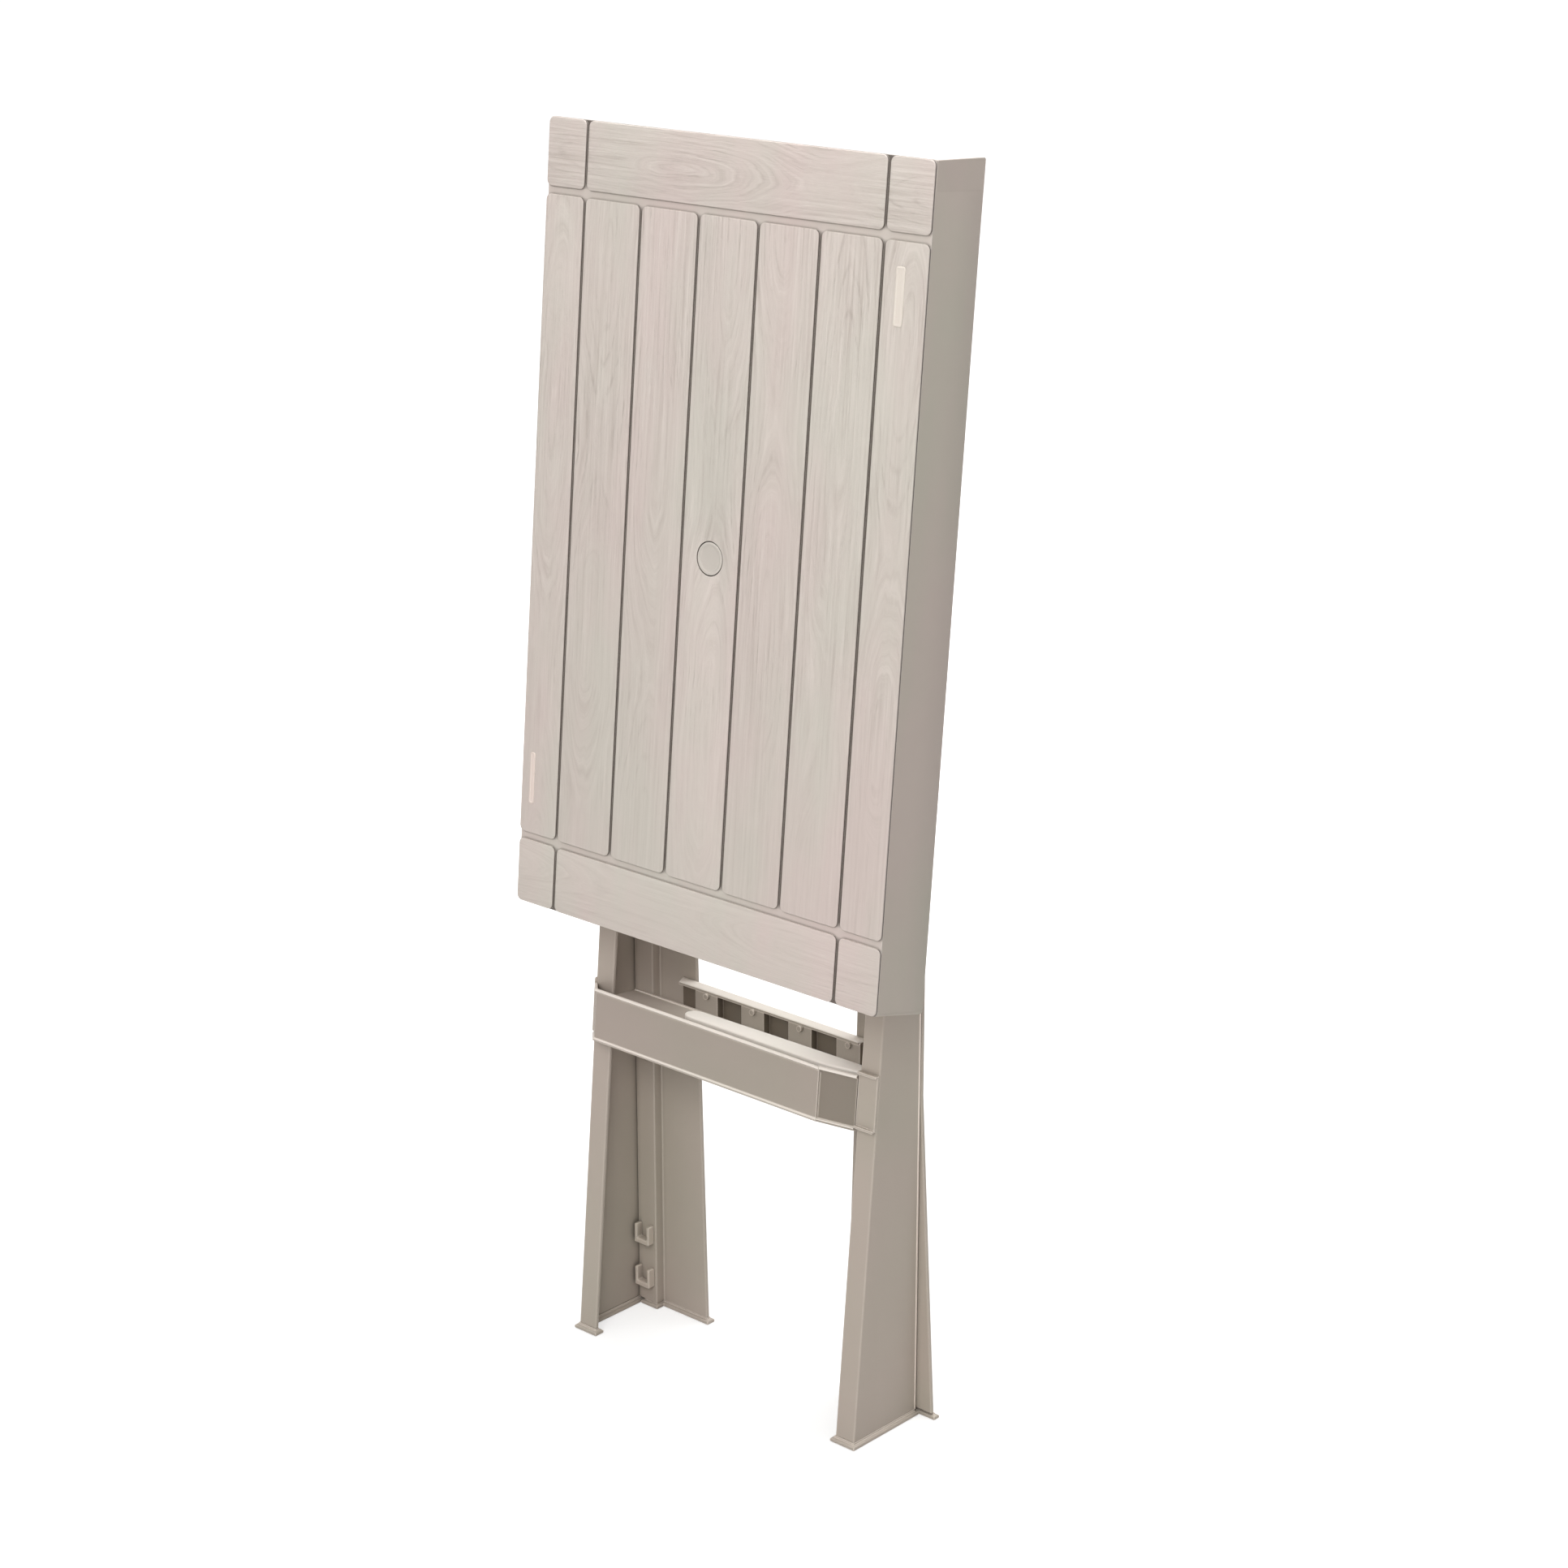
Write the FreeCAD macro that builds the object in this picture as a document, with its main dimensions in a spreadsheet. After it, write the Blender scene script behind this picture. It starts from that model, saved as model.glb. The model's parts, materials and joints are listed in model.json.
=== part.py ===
import FreeCAD, Part
import Sketcher
import os
import re

# A folding trestle table: a plank-faced tray hinged on two leg frames that scissor about one rod.
# Row frame: X across the table, Y from front to back, Z up, origin on the floor under the middle of
# the folded table. The front frame and the tray lean back together; the rear frame stands upright.

doc = FreeCAD.newDocument("FoldingTrestle")
sheet = doc.addObject("Spreadsheet::Sheet", "Sizes")

SIZES = (
    ("middle_shift", 40.5877, "floor line of the front flanges to the middle of the folded depth"),
    ("lean", 5.155, "lean of the front frame and the tray, degrees"),
    ("panel_width", 450.0, "tray across"),
    ("panel_length", 735.0, "tray face, end to end"),
    ("panel_skin", 5.0, "thickness of the tray face"),
    ("skirt_depth", 66.0, "face to rim"),
    ("skirt_wall", 4.0, "skirt thickness"),
    ("flare_top", 2.0, "how far the upper end skirt flares by the rim"),
    ("flare_low", 11.0, "how far the lower end skirt flares by the rim"),
    ("end_inset", 10.0, "how far the upper end wall stands in under the face"),
    ("face_offset", 68.0, "tray face ahead of the front flanges"),
    ("panel_up", 446.3, "floor to the tray's lower edge, along the lean"),
    ("plank_pitch", 70.4, "plank to plank"),
    ("groove_width", 4.0, "groove between planks"),
    ("groove_depth", 2.5, "depth of every groove"),
    ("rail_width", 65.0, "end to the middle of the rail groove"),
    ("rail_groove", 7.0, "groove along each end rail"),
    ("rib_wall", 3.0, "ribs under the tray"),
    ("rib_depth", 12.0, "ribs under the tray"),
    ("hole_radius", 13.0, "pole hole"),
    ("seat_radius", 15.3, "recess for the cap"),
    ("seat_depth", 3.2, "recess for the cap"),
    ("boss_radius", 19.0, "boss round the pole hole"),
    ("boss_depth", 24.0, "boss round the pole hole"),
    ("cap_radius", 15.0, "cap"),
    ("cap_skirt_radius", 12.8, "cap skirt"),
    ("cap_depth", 14.0, "cap skirt length"),
    ("hinge_depth", 83.5, "rod centre behind the tray face"),
    ("hinge_up", 265.0, "rod centre above the tray's lower edge"),
    ("rod_radius", 5.0, "hinge rod"),
    ("run_gap", 0.06, "radial running gap on the rod"),
    ("knuckle_radius", 13.0, "round end of each hinge ear"),
    ("leg_half", 180.0, "outside of the front legs from the middle"),
    ("flange_width", 22.5, "front flange of a front leg"),
    ("leg_wall", 4.0, "wall of the leg mouldings"),
    ("leg_top", 735.0, "top of the front legs"),
    ("contact_depth", 90.0, "rear edge of the front webs"),
    ("foot_height", 6.0, "shoe under each leg"),
    ("foot_lip", 3.5, "shoe beyond the leg"),
    ("board_front", 90.8, "front of the rear boards"),
    ("strip_depth", 10.8, "strip ahead of the board, inside the front leg"),
    ("strip_outer", 175.2, "outer side of the strip"),
    ("board_inner_low", 91.8, "inner edge of a rear board at the shoe"),
    ("board_inner_high", 110.5, "inner edge of a rear board at its top"),
    ("board_outer_low", 198.2, "outer edge of a rear board at the shoe"),
    ("board_outer_high", 180.5, "outer edge of a rear board above the flare"),
    ("flare_height", 325.0, "height where the outer edge starts to flare"),
    ("board_top", 690.0, "top of the rear boards"),
    ("strip_inner", 150.5, "inner edge of the strip"),
    ("back_rib_depth", 14.0, "ribs behind the rear boards"),
    ("bar_low", 307.5, "front crossbar, lower edge along the lean"),
    ("bar_high", 360.0, "front crossbar, upper edge along the lean"),
    ("bar_proud", 13.0, "front crossbar ahead of the flanges"),
    ("bar_left", 167.0, "flat of the front crossbar, to the left"),
    ("bar_right", 119.0, "flat of the front crossbar, to the right"),
    ("bar_root", 157.0, "where the long slanted end meets the right flange"),
    ("bar_wall", 4.0, "walls of the crossbars"),
    ("root_proud", 4.0, "slanted end ahead of the flange where it lands"),
    ("ledge_back", 30.0, "rear edge of the crossbar's ledge behind the flange line"),
    ("ledge_half", 155.0, "half length of the ledge between the flanges"),
    ("bead", 1.5, "lip along the crossbar's edges"),
    ("back_bar_low", 307.5, "rear crossbar, lower edge"),
    ("back_bar_high", 364.0, "rear crossbar, upper edge"),
    ("back_bar_front", 79.0, "front of the rear crossbar"),
    ("back_bar_half", 120.0, "half length of the rear crossbar"),
    ("cell_shift", 11.5, "middle of the pads to the right of the middle"),
    ("cell_pitch", 60.0, "pad to pad on the rear crossbar"),
    ("pad_width", 29.0, "pad on the rear crossbar"),
    ("beam_low", 640.0, "top beam, lower edge"),
    ("beam_high", 680.0, "top beam, upper edge"),
    ("beam_wall", 8.0, "front top beam thickness"),
    ("ear_inner", 120.0, "inner side of a tray bracket's ear"),
    ("ear_width", 12.0, "tray bracket's ear"),
    ("arm_inner", 140.0, "inner side of a rear knuckle"),
    ("arm_width", 10.0, "rear knuckle"),
)
for row, (alias, size, note) in enumerate(SIZES, 1):
    sheet.set("A%d" % row, note)
    sheet.set("B%d" % row, str(size))
    sheet.setAlias("B%d" % row, alias)
doc.recompute()

ALIASES = sorted((alias for alias, size, note in SIZES), key=len, reverse=True)
ALIAS = re.compile(r"\b(" + "|".join(ALIASES) + r")\b")

# Rod centre in the upright frame, and the tray's lower front edge in the upright frame.
ROD_Y = "((hinge_depth - face_offset) * cos(lean) + (panel_up + hinge_up) * sin(lean))"
ROD_Z = "((panel_up + hinge_up) * cos(lean) - (hinge_depth - face_offset) * sin(lean))"
PANEL_Y = "(panel_up * sin(lean) - face_offset * cos(lean) - middle_shift)"
PANEL_Z = "(panel_up * cos(lean) + face_offset * sin(lean))"


def bound(text):
    """The expression with every alias pointed at the sheet."""
    return ALIAS.sub(r"Sizes.\1", str(text))


def value(text):
    """The expression's number now."""
    result = sheet.evalExpression(bound(text))
    return float(getattr(result, "Value", result))


def bind(item, **settings):
    """Binds properties of one object; a double underscore stands for a dot."""
    for name, text in settings.items():
        item.setExpression(name.replace("__", "."), bound(text))


def place(item, frame):
    """upright: stands square. lean: turned about the front floor line. panel: from the tray's edge."""
    spin = FreeCAD.Rotation(FreeCAD.Vector(-1, 0, 0), 0 if frame == "upright" else value("lean"))
    item.Placement = FreeCAD.Placement(FreeCAD.Vector(0, 0, 0), spin)
    if frame != "upright":
        bind(item, Placement__Rotation__Angle="lean")
    bind(item, Placement__Base__y=PANEL_Y if frame == "panel" else "-middle_shift")
    if frame == "panel":
        bind(item, Placement__Base__z=PANEL_Z)


def new_body(label, frame="upright"):
    item = doc.addObject("PartDesign::Body", label)
    item.Label = label
    place(item, frame)
    return item


def new_sketch(body, plane, offset):
    support = next(f for f in body.Origin.OriginFeatures if f.Role == plane + "_Plane")
    sketch = body.newObject("Sketcher::SketchObject", body.Label + "_sketch")
    sketch.AttachmentSupport = [(support, "")]
    sketch.MapMode = "FlatFace"
    bind(sketch, AttachmentOffset__Base__z=offset)
    return sketch


def pin_point(sketch, line, end, across, up):
    """Holds one end of a line at two expressions, or on an axis where an expression is 0."""
    for kind, axis, text in (("DistanceX", -2, across), ("DistanceY", -1, up)):
        if str(text) == "0":
            sketch.addConstraint(Sketcher.Constraint("PointOnObject", line, end, axis))
            continue
        index = sketch.addConstraint(Sketcher.Constraint(kind, line, end, value(text)))
        sketch.setExpression("Constraints[%d]" % index, bound(text))


def outline(sketch, corners):
    """A closed polygon; each corner is a pair of expressions."""
    spots = [FreeCAD.Vector(value(a), value(b), 0) for a, b in corners]
    first = sketch.GeometryCount
    count = len(corners)
    for i in range(count):
        sketch.addGeometry(Part.LineSegment(spots[i], spots[(i + 1) % count]), False)
    for i in range(count):
        follow = first + (i + 1) % count
        sketch.addConstraint(Sketcher.Constraint("Coincident", first + i, 2, follow, 1))
    for i, (across, up) in enumerate(corners):
        pin_point(sketch, first + i, 1, across, up)


def ring(sketch, across, up, radius):
    """A circle held at two expressions."""
    spot = FreeCAD.Vector(value(across), value(up), 0)
    index = sketch.addGeometry(Part.Circle(spot, FreeCAD.Vector(0, 0, 1), value(radius)), False)
    pin_point(sketch, index, 3, across, up)
    held = sketch.addConstraint(Sketcher.Constraint("Radius", index, value(radius)))
    sketch.setExpression("Constraints[%d]" % held, bound(radius))


def rectangle(low_across, high_across, low_up, high_up):
    return (
        (low_across, low_up),
        (high_across, low_up),
        (high_across, high_up),
        (low_across, high_up),
    )


def feature(body, kind, plane, offset, length, shapes):
    """Pads along the plane's normal from the offset, or pockets against it."""
    sketch = new_sketch(body, plane, offset)
    for shape in shapes:
        if len(shape) == 3 and not isinstance(shape[0], tuple):
            ring(sketch, *shape)
        else:
            outline(sketch, shape)
    made = body.newObject("PartDesign::" + kind, body.Label + "_" + kind.lower())
    made.Profile = sketch
    bind(made, Length=length)
    return made


def pad(body, plane, offset, length, *shapes):
    return feature(body, "Pad", plane, offset, length, shapes)


def pocket(body, plane, offset, length, *shapes):
    """Cuts, and stops the script if the cut removed nothing."""
    doc.recompute()
    before = body.Shape.Volume
    made = feature(body, "Pocket", plane, offset, length, shapes)
    doc.recompute()
    if body.Shape.Volume > before - 1.0:
        raise RuntimeError("nothing was cut from " + body.Label)
    return made


def prism(body, kind, low, high):
    """A PartDesign box between two corners given as expressions."""
    made = body.newObject("PartDesign::%sBox" % kind, body.Label + "_box")
    sizes = ["(%s) - (%s)" % pair for pair in zip(high, low)]
    bind(made, Length=sizes[0], Width=sizes[1], Height=sizes[2])
    for axis, text in zip("xyz", low):
        made.setExpression("Placement.Base." + axis, bound(text))
    return made


def sided(side, low, high):
    """Start and length across for a piece that spans low to high on one side."""
    return (low if side > 0 else "-(%s)" % high), "(%s) - (%s)" % (high, low)


def across(side, text):
    return text if side > 0 else "-(%s)" % text



SIDES = (("left", -1), ("right", 1))
ROD_SPOT = (ROD_Y, ROD_Z)


def front_line(height):
    """Depth of the front flange's face at a height, in the upright frame."""
    return "(%s) * tan(lean)" % height


# ---------------------------------------------------------------- front frame
def front_leg(label, side):
    leg = new_body(label)
    flange = "leg_wall / cos(lean)"
    web = (
        (front_line("foot_height"), "foot_height"),
        ("contact_depth", "foot_height"),
        ("contact_depth", "leg_top"),
        (front_line("leg_top"), "leg_top"),
    )
    face = (
        (front_line("foot_height"), "foot_height"),
        (front_line("foot_height") + " + " + flange, "foot_height"),
        (front_line("leg_top") + " + " + flange, "leg_top"),
        (front_line("leg_top"), "leg_top"),
    )
    pad(leg, "YZ", *sided(side, "leg_half - leg_wall", "leg_half"), web)
    pad(leg, "YZ", *sided(side, "leg_half - flange_width", "leg_half"), face)
    cut_start = "leg_half + 1" if side > 0 else "1 + leg_wall - leg_half"
    pocket(leg, "YZ", cut_start, "leg_wall + 2", ROD_SPOT + ("rod_radius",))


def front_foot(label, side):
    foot = new_body(label)
    inner = "leg_half - flange_width - foot_lip"
    web_inner = "leg_half - leg_wall - foot_lip"
    outer = "leg_half + foot_lip"
    behind = "leg_wall + foot_lip + 1"
    corners = (
        (across(side, inner), "-foot_lip"),
        (across(side, outer), "-foot_lip"),
        (across(side, outer), "contact_depth + 0.3"),
        (across(side, web_inner), "contact_depth + 0.3"),
        (across(side, web_inner), behind),
        (across(side, inner), behind),
    )
    pad(foot, "XY", "0", "foot_height", corners)


def front_crossbar():
    """Channel across the flanges with a deep ledge; its right end slants back further than its left."""
    bar = new_body("front_crossbar", "lean")
    wall = (
        ("-leg_half", "-0.2"),
        ("-bar_left", "-bar_proud"),
        ("bar_right", "-bar_proud"),
        ("bar_root", "-root_proud"),
        ("bar_root", "-0.2"),
        ("bar_root - 2", "-0.2"),
        ("bar_right - 1", "bar_wall - bar_proud"),
        ("5 - bar_left", "bar_wall - bar_proud"),
        ("8 - bar_left", "-0.2"),
    )
    pad(bar, "XY", "bar_low", "bar_high - bar_low", wall)
    ledge = (
        ("-ledge_half", "-1"),
        ("-ledge_half", "1 - bar_proud"),
        ("bar_right - 1", "1 - bar_proud"),
        ("ledge_half - 3", "-root_proud"),
        ("ledge_half", "-1"),
        ("ledge_half", "ledge_back"),
        ("-ledge_half", "ledge_back"),
    )
    pad(bar, "XY", "bar_high - bar_wall - 1", "bar_wall - 1", ledge)
    sole = (
        ("-ledge_half", "-1"),
        ("-ledge_half", "1 - bar_proud"),
        ("bar_right - 1", "1 - bar_proud"),
        ("ledge_half - 3", "-root_proud"),
        ("ledge_half", "-1"),
    )
    pad(bar, "XY", "bar_low", "bar_wall - 1", sole)
    for low in ("bar_low", "bar_high - 2 * bead"):
        prism(
            bar,
            "Additive",
            ("-bar_left", "-bar_proud - bead", low),
            ("bar_right", "1 - bar_proud", low + " + 2 * bead"),
        )
    prism(
        bar,
        "Additive",
        ("-ledge_half", "ledge_back - 3", "bar_high - 24"),
        ("ledge_half", "ledge_back", "bar_high - bar_wall"),
    )
    for at in (-90, -30, 30, 90):
        prism(
            bar,
            "Additive",
            ("%d - 1.5" % at, "1 - bar_proud", "bar_low + 1"),
            ("%d + 1.5" % at, "-3", "bar_high - bar_wall"),
        )


def crossbar_collar(label, side):
    """Cover over a flange behind the crossbar's end; the right one has a lip at top and bottom."""
    collar = new_body(label, "lean")
    low, high = "bar_low + 3", "bar_high + 5"
    if side < 0:
        corners = (
            ("-leg_half", "-0.2"),
            ("-leg_half - 2.5", "-0.2"),
            ("-leg_half - 2.5", "24"),
            ("-leg_half", "24"),
        )
        pad(collar, "XY", low, "(%s) - (%s)" % (high, low), corners)
        return
    profile = (
        ("0", low),
        ("0", high),
        ("-root_proud - 1.5", high),
        ("-root_proud - 1.5", high + " - 2.5"),
        ("1.5 - root_proud", high + " - 2.5"),
        ("1.5 - root_proud", low + " + 2.5"),
        ("-root_proud - 1.5", low + " + 2.5"),
        ("-root_proud - 1.5", low),
    )
    pad(collar, "YZ", "bar_root + 0.2", "leg_half - bar_root - 0.2", profile)


def grip_strip():
    """Raised strip along the crossbar's ledge, rounded where it starts and bent where the bar ends."""
    strip = new_body("grip_strip", "lean")
    corners = (
        ("-58", "-5"),
        ("bar_right - 2", "-5"),
        ("ledge_half - 1", "4"),
        ("ledge_half - 1", "ledge_back - 1"),
        ("4", "ledge_back - 1"),
        ("-60", "ledge_back - 7"),
        ("-66", "ledge_back - 11"),
        ("-69", "9"),
        ("-66", "0"),
    )
    pad(strip, "XY", "bar_high - 2", "2", corners)


def front_top_beam():
    beam = new_body("front_top_beam", "lean")
    reach = "leg_half - flange_width"
    prism(beam, "Additive", ("-(%s)" % reach, "0", "beam_low"), (reach, "beam_wall", "beam_high"))
    doc.recompute()
    for at in (-96, -32, 32, 96):
        prism(
            beam,
            "Subtractive",
            ("%d - 26" % at, "bar_wall", "beam_low + 5"),
            ("%d + 26" % at, "beam_wall + 1", "beam_high - 5"),
        )


def rest_pad(label, side):
    """Rubber pad on a flange that the tray's lower rim closes on."""
    piece = new_body(label, "lean")
    start, length = sided(side, "leg_half - 20", "leg_half - 4")
    gap = "face_offset - skirt_depth"
    corners = rectangle("0.2 - (%s)" % gap, "0", "panel_up - 9", "panel_up + 3")
    pad(piece, "YZ", start, length, corners)


def cylinder(label, low, high, radius, bore=None):
    """A turned piece on the rod's axis, between two distances across."""
    names = (label,) if bore is None else (label + "_blank", label + "_bore")
    made = []
    for name, size in zip(names, (radius, bore)):
        piece = doc.addObject("Part::Cylinder", name)
        piece.Placement = FreeCAD.Placement(
            FreeCAD.Vector(0, 0, 0), FreeCAD.Rotation(FreeCAD.Vector(0, 1, 0), 90)
        )
        bind(piece, Radius=size, Height="(%s) - (%s)" % (high, low))
        bind(piece, Placement__Base__x=low)
        bind(piece, Placement__Base__y=ROD_Y + " - middle_shift")
        bind(piece, Placement__Base__z=ROD_Z)
        made.append(piece)
    if bore is None:
        made[0].Label = label
        return made[0]
    cut = doc.addObject("Part::Cut", label)
    cut.Base, cut.Tool = made
    cut.Label = label
    return cut


# ---------------------------------------------------------------- rear frame
BOARD_BACK = "board_front + leg_wall"


def rear_leg(label, side):
    """A board that widens to the floor, a strip that nests in the front leg, and ribs behind."""
    leg = new_body(label)
    board = (
        (across(side, "board_inner_low"), "foot_height"),
        (across(side, "board_outer_low"), "foot_height"),
        (across(side, "board_outer_high"), "flare_height"),
        (across(side, "board_outer_high"), "board_top"),
        (across(side, "board_inner_high"), "board_top"),
    )
    pad(leg, "XZ", "-(%s)" % BOARD_BACK, "leg_wall", board)
    walls = (
        ("strip_inner", "board_front - strip_depth"),
        ("strip_outer", "board_front - strip_depth"),
        ("strip_outer", "board_front + 1"),
        ("strip_outer - 3", "board_front + 1"),
        ("strip_outer - 3", "board_front - strip_depth + 3"),
        ("strip_inner + 3", "board_front - strip_depth + 3"),
        ("strip_inner + 3", "board_front + 1"),
        ("strip_inner", "board_front + 1"),
    )
    channel = [(across(side, low), depth) for low, depth in walls]
    pad(leg, "XY", "foot_height", "board_top - foot_height", channel)
    for at in ("118", "165"):
        low, high = ("%s - 1.5" % at, "%s + 1.5" % at)
        rib = rectangle(across(side, low), across(side, high), "foot_height + 4", "board_top")
        pad(leg, "XZ", "-(%s + back_rib_depth)" % BOARD_BACK, "back_rib_depth + 1", rib)


def rear_foot(label, side):
    foot = new_body(label)
    corners = rectangle(
        across(side, "board_inner_low - foot_lip"),
        across(side, "board_outer_low + foot_lip"),
        "board_front + 0.2",
        BOARD_BACK + " + foot_lip",
    )
    pad(foot, "XY", "0", "foot_height", corners)


def rear_crossbar():
    """Open-fronted channel across the boards, with solid pads between its cells."""
    bar = new_body("rear_crossbar")
    plan = (
        ("-back_bar_half", "board_front"),
        ("6 - back_bar_half", "back_bar_front"),
        ("back_bar_half - 6", "back_bar_front"),
        ("back_bar_half", "board_front"),
    )
    wall = rectangle("-back_bar_half", "back_bar_half", "back_bar_low", "back_bar_high")
    pad(bar, "XZ", "-board_front", "3", wall)
    pad(bar, "XY", "back_bar_high - 3", "3", plan)
    pad(bar, "XY", "back_bar_low", "3", plan)
    for step in (-1.5, -0.5, 0.5, 1.5):
        middle = "%s * cell_pitch + cell_shift" % step
        block = rectangle(
            middle + " - pad_width / 2",
            middle + " + pad_width / 2",
            "back_bar_low + 1",
            "back_bar_high - 1",
        )
        depth = "board_front - back_bar_front"
        pad(bar, "XZ", "-board_front", depth, block)


def crossbar_peg(label, step):
    piece = new_body(label)
    spot = ("%s * cell_pitch + cell_shift + 2" % step, "back_bar_high - 5.5", "3")
    pad(piece, "XZ", "-back_bar_front", "3", spot)


def rear_top_beam():
    beam = new_body("rear_top_beam")
    reach = "arm_inner - 0.5"
    plate = rectangle("-(%s)" % reach, reach, "beam_low - 10", "board_top")
    pad(beam, "XZ", "-board_front", "4", plate)


def rear_knuckle(label, side):
    """Arm from a rear board to the rod."""
    arm = new_body(label)
    start, length = sided(side, "arm_inner", "arm_inner + arm_width")
    seat = "board_front"
    corners = (
        (seat, "beam_low - 30"),
        (seat, "board_top"),
        (ROD_Y + " + 4", ROD_Z + " + 12.37"),
        (ROD_Y + " - 12.6", ROD_Z + " - 3.2"),
    )
    pad(arm, "YZ", start, length, corners)
    pad(arm, "YZ", start, length, ROD_SPOT + ("knuckle_radius",))
    end = "%s + %s" % (start, length)
    pocket(arm, "YZ", end, length, ROD_SPOT + ("rod_radius + run_gap",))


def leg_clip(label, side, height):
    """Open-topped clip on the strip, inside the front leg when folded."""
    clip = new_body(label)
    low, high = "strip_inner + 3", "strip_inner + 22"
    inner_low, inner_high = "strip_inner + 6", "strip_inner + 19"
    corners = (
        (across(side, low), "%d" % height),
        (across(side, high), "%d" % height),
        (across(side, high), "%d" % (height + 20)),
        (across(side, inner_high), "%d" % (height + 20)),
        (across(side, inner_high), "%d" % (height + 5)),
        (across(side, inner_low), "%d" % (height + 5)),
        (across(side, inner_low), "%d" % (height + 20)),
        (across(side, low), "%d" % (height + 20)),
    )
    pad(clip, "XZ", "strip_depth - board_front", "8", corners)


# ---------------------------------------------------------------- tray
def tabletop_shell():
    """Tray of planks between two end rails, with flared end skirts, ribs and a boss beneath."""
    tray = new_body("tabletop_shell", "panel")
    half = "panel_width / 2"
    outside = (
        ("0", "0"),
        ("skirt_depth", "-flare_low"),
        ("skirt_depth", "panel_length + flare_top"),
        ("0", "panel_length"),
    )
    pad(tray, "YZ", "-(%s)" % half, "panel_width", outside)
    near, far = "panel_skin", "(skirt_depth + 1)"
    low_slope, top_slope = "flare_low / skirt_depth", "flare_top / skirt_depth"
    hollow = (
        (near, "skirt_wall - %s * %s" % (near, low_slope)),
        (far, "skirt_wall - %s * %s" % (far, low_slope)),
        (far, "panel_length - end_inset - skirt_wall + %s * %s" % (far, top_slope)),
        (near, "panel_length - end_inset - skirt_wall + %s * %s" % (near, top_slope)),
    )
    outside_end = (
        (near, "panel_length - end_inset + %s * %s" % (near, top_slope)),
        (far, "panel_length - end_inset + %s * %s" % (far, top_slope)),
        (far, "panel_length + 10"),
        (near, "panel_length + 10"),
    )
    pocket(tray, "YZ", half + " - skirt_wall", "panel_width - 2 * skirt_wall", hollow)
    pocket(tray, "YZ", half + " - skirt_wall", "panel_width - 2 * skirt_wall", outside_end)
    deep = "panel_skin + rib_depth"
    for at in (-190, -60, 60, 190):
        low, high = "%d - rib_wall / 2" % at, "%d + rib_wall / 2" % at
        prism(tray, "Additive", (low, "panel_skin - 1", "2"), (high, deep, "panel_length - end_inset - 2"))
    for at in (110, 190, 440, 540, 640):
        low, high = "%d - rib_wall / 2" % at, "%d + rib_wall / 2" % at
        ends = ("2 - (%s)" % half, "%s - 2" % half)
        prism(tray, "Additive", (ends[0], "panel_skin - 1", low), (ends[1], deep, high))
    centre = ("0", "panel_length / 2")
    boss = centre + ("boss_radius",)
    pad(tray, "XZ", "-(panel_skin + boss_depth)", "boss_depth + 1", boss)
    pocket(tray, "XZ", "1", "panel_skin + boss_depth + 2", centre + ("hole_radius",))
    pocket(tray, "XZ", "1", "seat_depth + 1", centre + ("seat_radius",))
    for steps, low, high in (
        ((-2.5, 2.5), "-1", "panel_length + 1"),
        ((-1.5, -0.5, 0.5, 1.5), "rail_width", "panel_length - rail_width"),
    ):
        slots = [
            rectangle(
                "%s * plank_pitch - groove_width / 2" % step,
                "%s * plank_pitch + groove_width / 2" % step,
                "-1",
                "groove_depth",
            )
            for step in steps
        ]
        pocket(tray, "XY", high, "(%s) - (%s)" % (high, low), *slots)
    rails = [
        rectangle("-1", "groove_depth", spot + " - rail_groove / 2", spot + " + rail_groove / 2")
        for spot in ("rail_width", "panel_length - rail_width")
    ]
    pocket(tray, "YZ", half + " + 1", "panel_width + 2", *rails)


def hole_cap():
    cap = new_body("pole_hole_cap", "panel")
    spot = ("0", "panel_length / 2")
    pad(cap, "XZ", "-seat_depth + 0.2", "seat_depth - 0.2", spot + ("cap_radius",))
    pad(cap, "XZ", "-cap_depth", "cap_depth - 1", spot + ("cap_skirt_radius",))
    pocket(cap, "XZ", "-seat_depth", "cap_depth", spot + ("cap_skirt_radius - 2",))


def name_plate(label, middle, up):
    """Blank plate on an outer plank."""
    plate = new_body(label, "panel")
    low, high = "%s - 6" % middle, "%s + 6" % middle
    corners = rectangle(low, high, "%s - 25" % up, "%s + 25" % up)
    pad(plate, "XZ", "0", "0.8", corners)


def hinge_bracket(label, side):
    """Plate under the tray with an ear that turns on the rod."""
    piece = new_body(label, "panel")
    start, length = sided(side, "ear_inner", "ear_inner + ear_width")
    ear = (
        ("panel_skin + 1", "hinge_up - 40"),
        ("hinge_depth + 3", "hinge_up - 12.64"),
        ("hinge_depth + 3", "hinge_up + 12.64"),
        ("panel_skin + 1", "hinge_up + 40"),
    )
    pad(piece, "YZ", start, length, ear)
    spot = ("hinge_depth", "hinge_up")
    pad(piece, "YZ", start, length, spot + ("knuckle_radius",))
    end = "%s + %s" % (start, length)
    pocket(piece, "YZ", end, length, spot + ("rod_radius + run_gap",))
    base, span = sided(side, "ear_inner - 12", "ear_inner + ear_width + 12")
    plate = rectangle("panel_skin", "panel_skin + 4", "hinge_up - 52", "hinge_up + 52")
    pad(piece, "YZ", base, span, plate)


def bracket_screw(label, side, up):
    """Pan head standing on a bracket's plate."""
    piece = new_body(label, "panel")
    middle = across(side, "ear_inner + ear_width / 2")
    spot = (middle, "hinge_up + %d" % up, "4.5")
    pad(piece, "XZ", "-(panel_skin + 6.6)", "2.6", spot)


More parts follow.
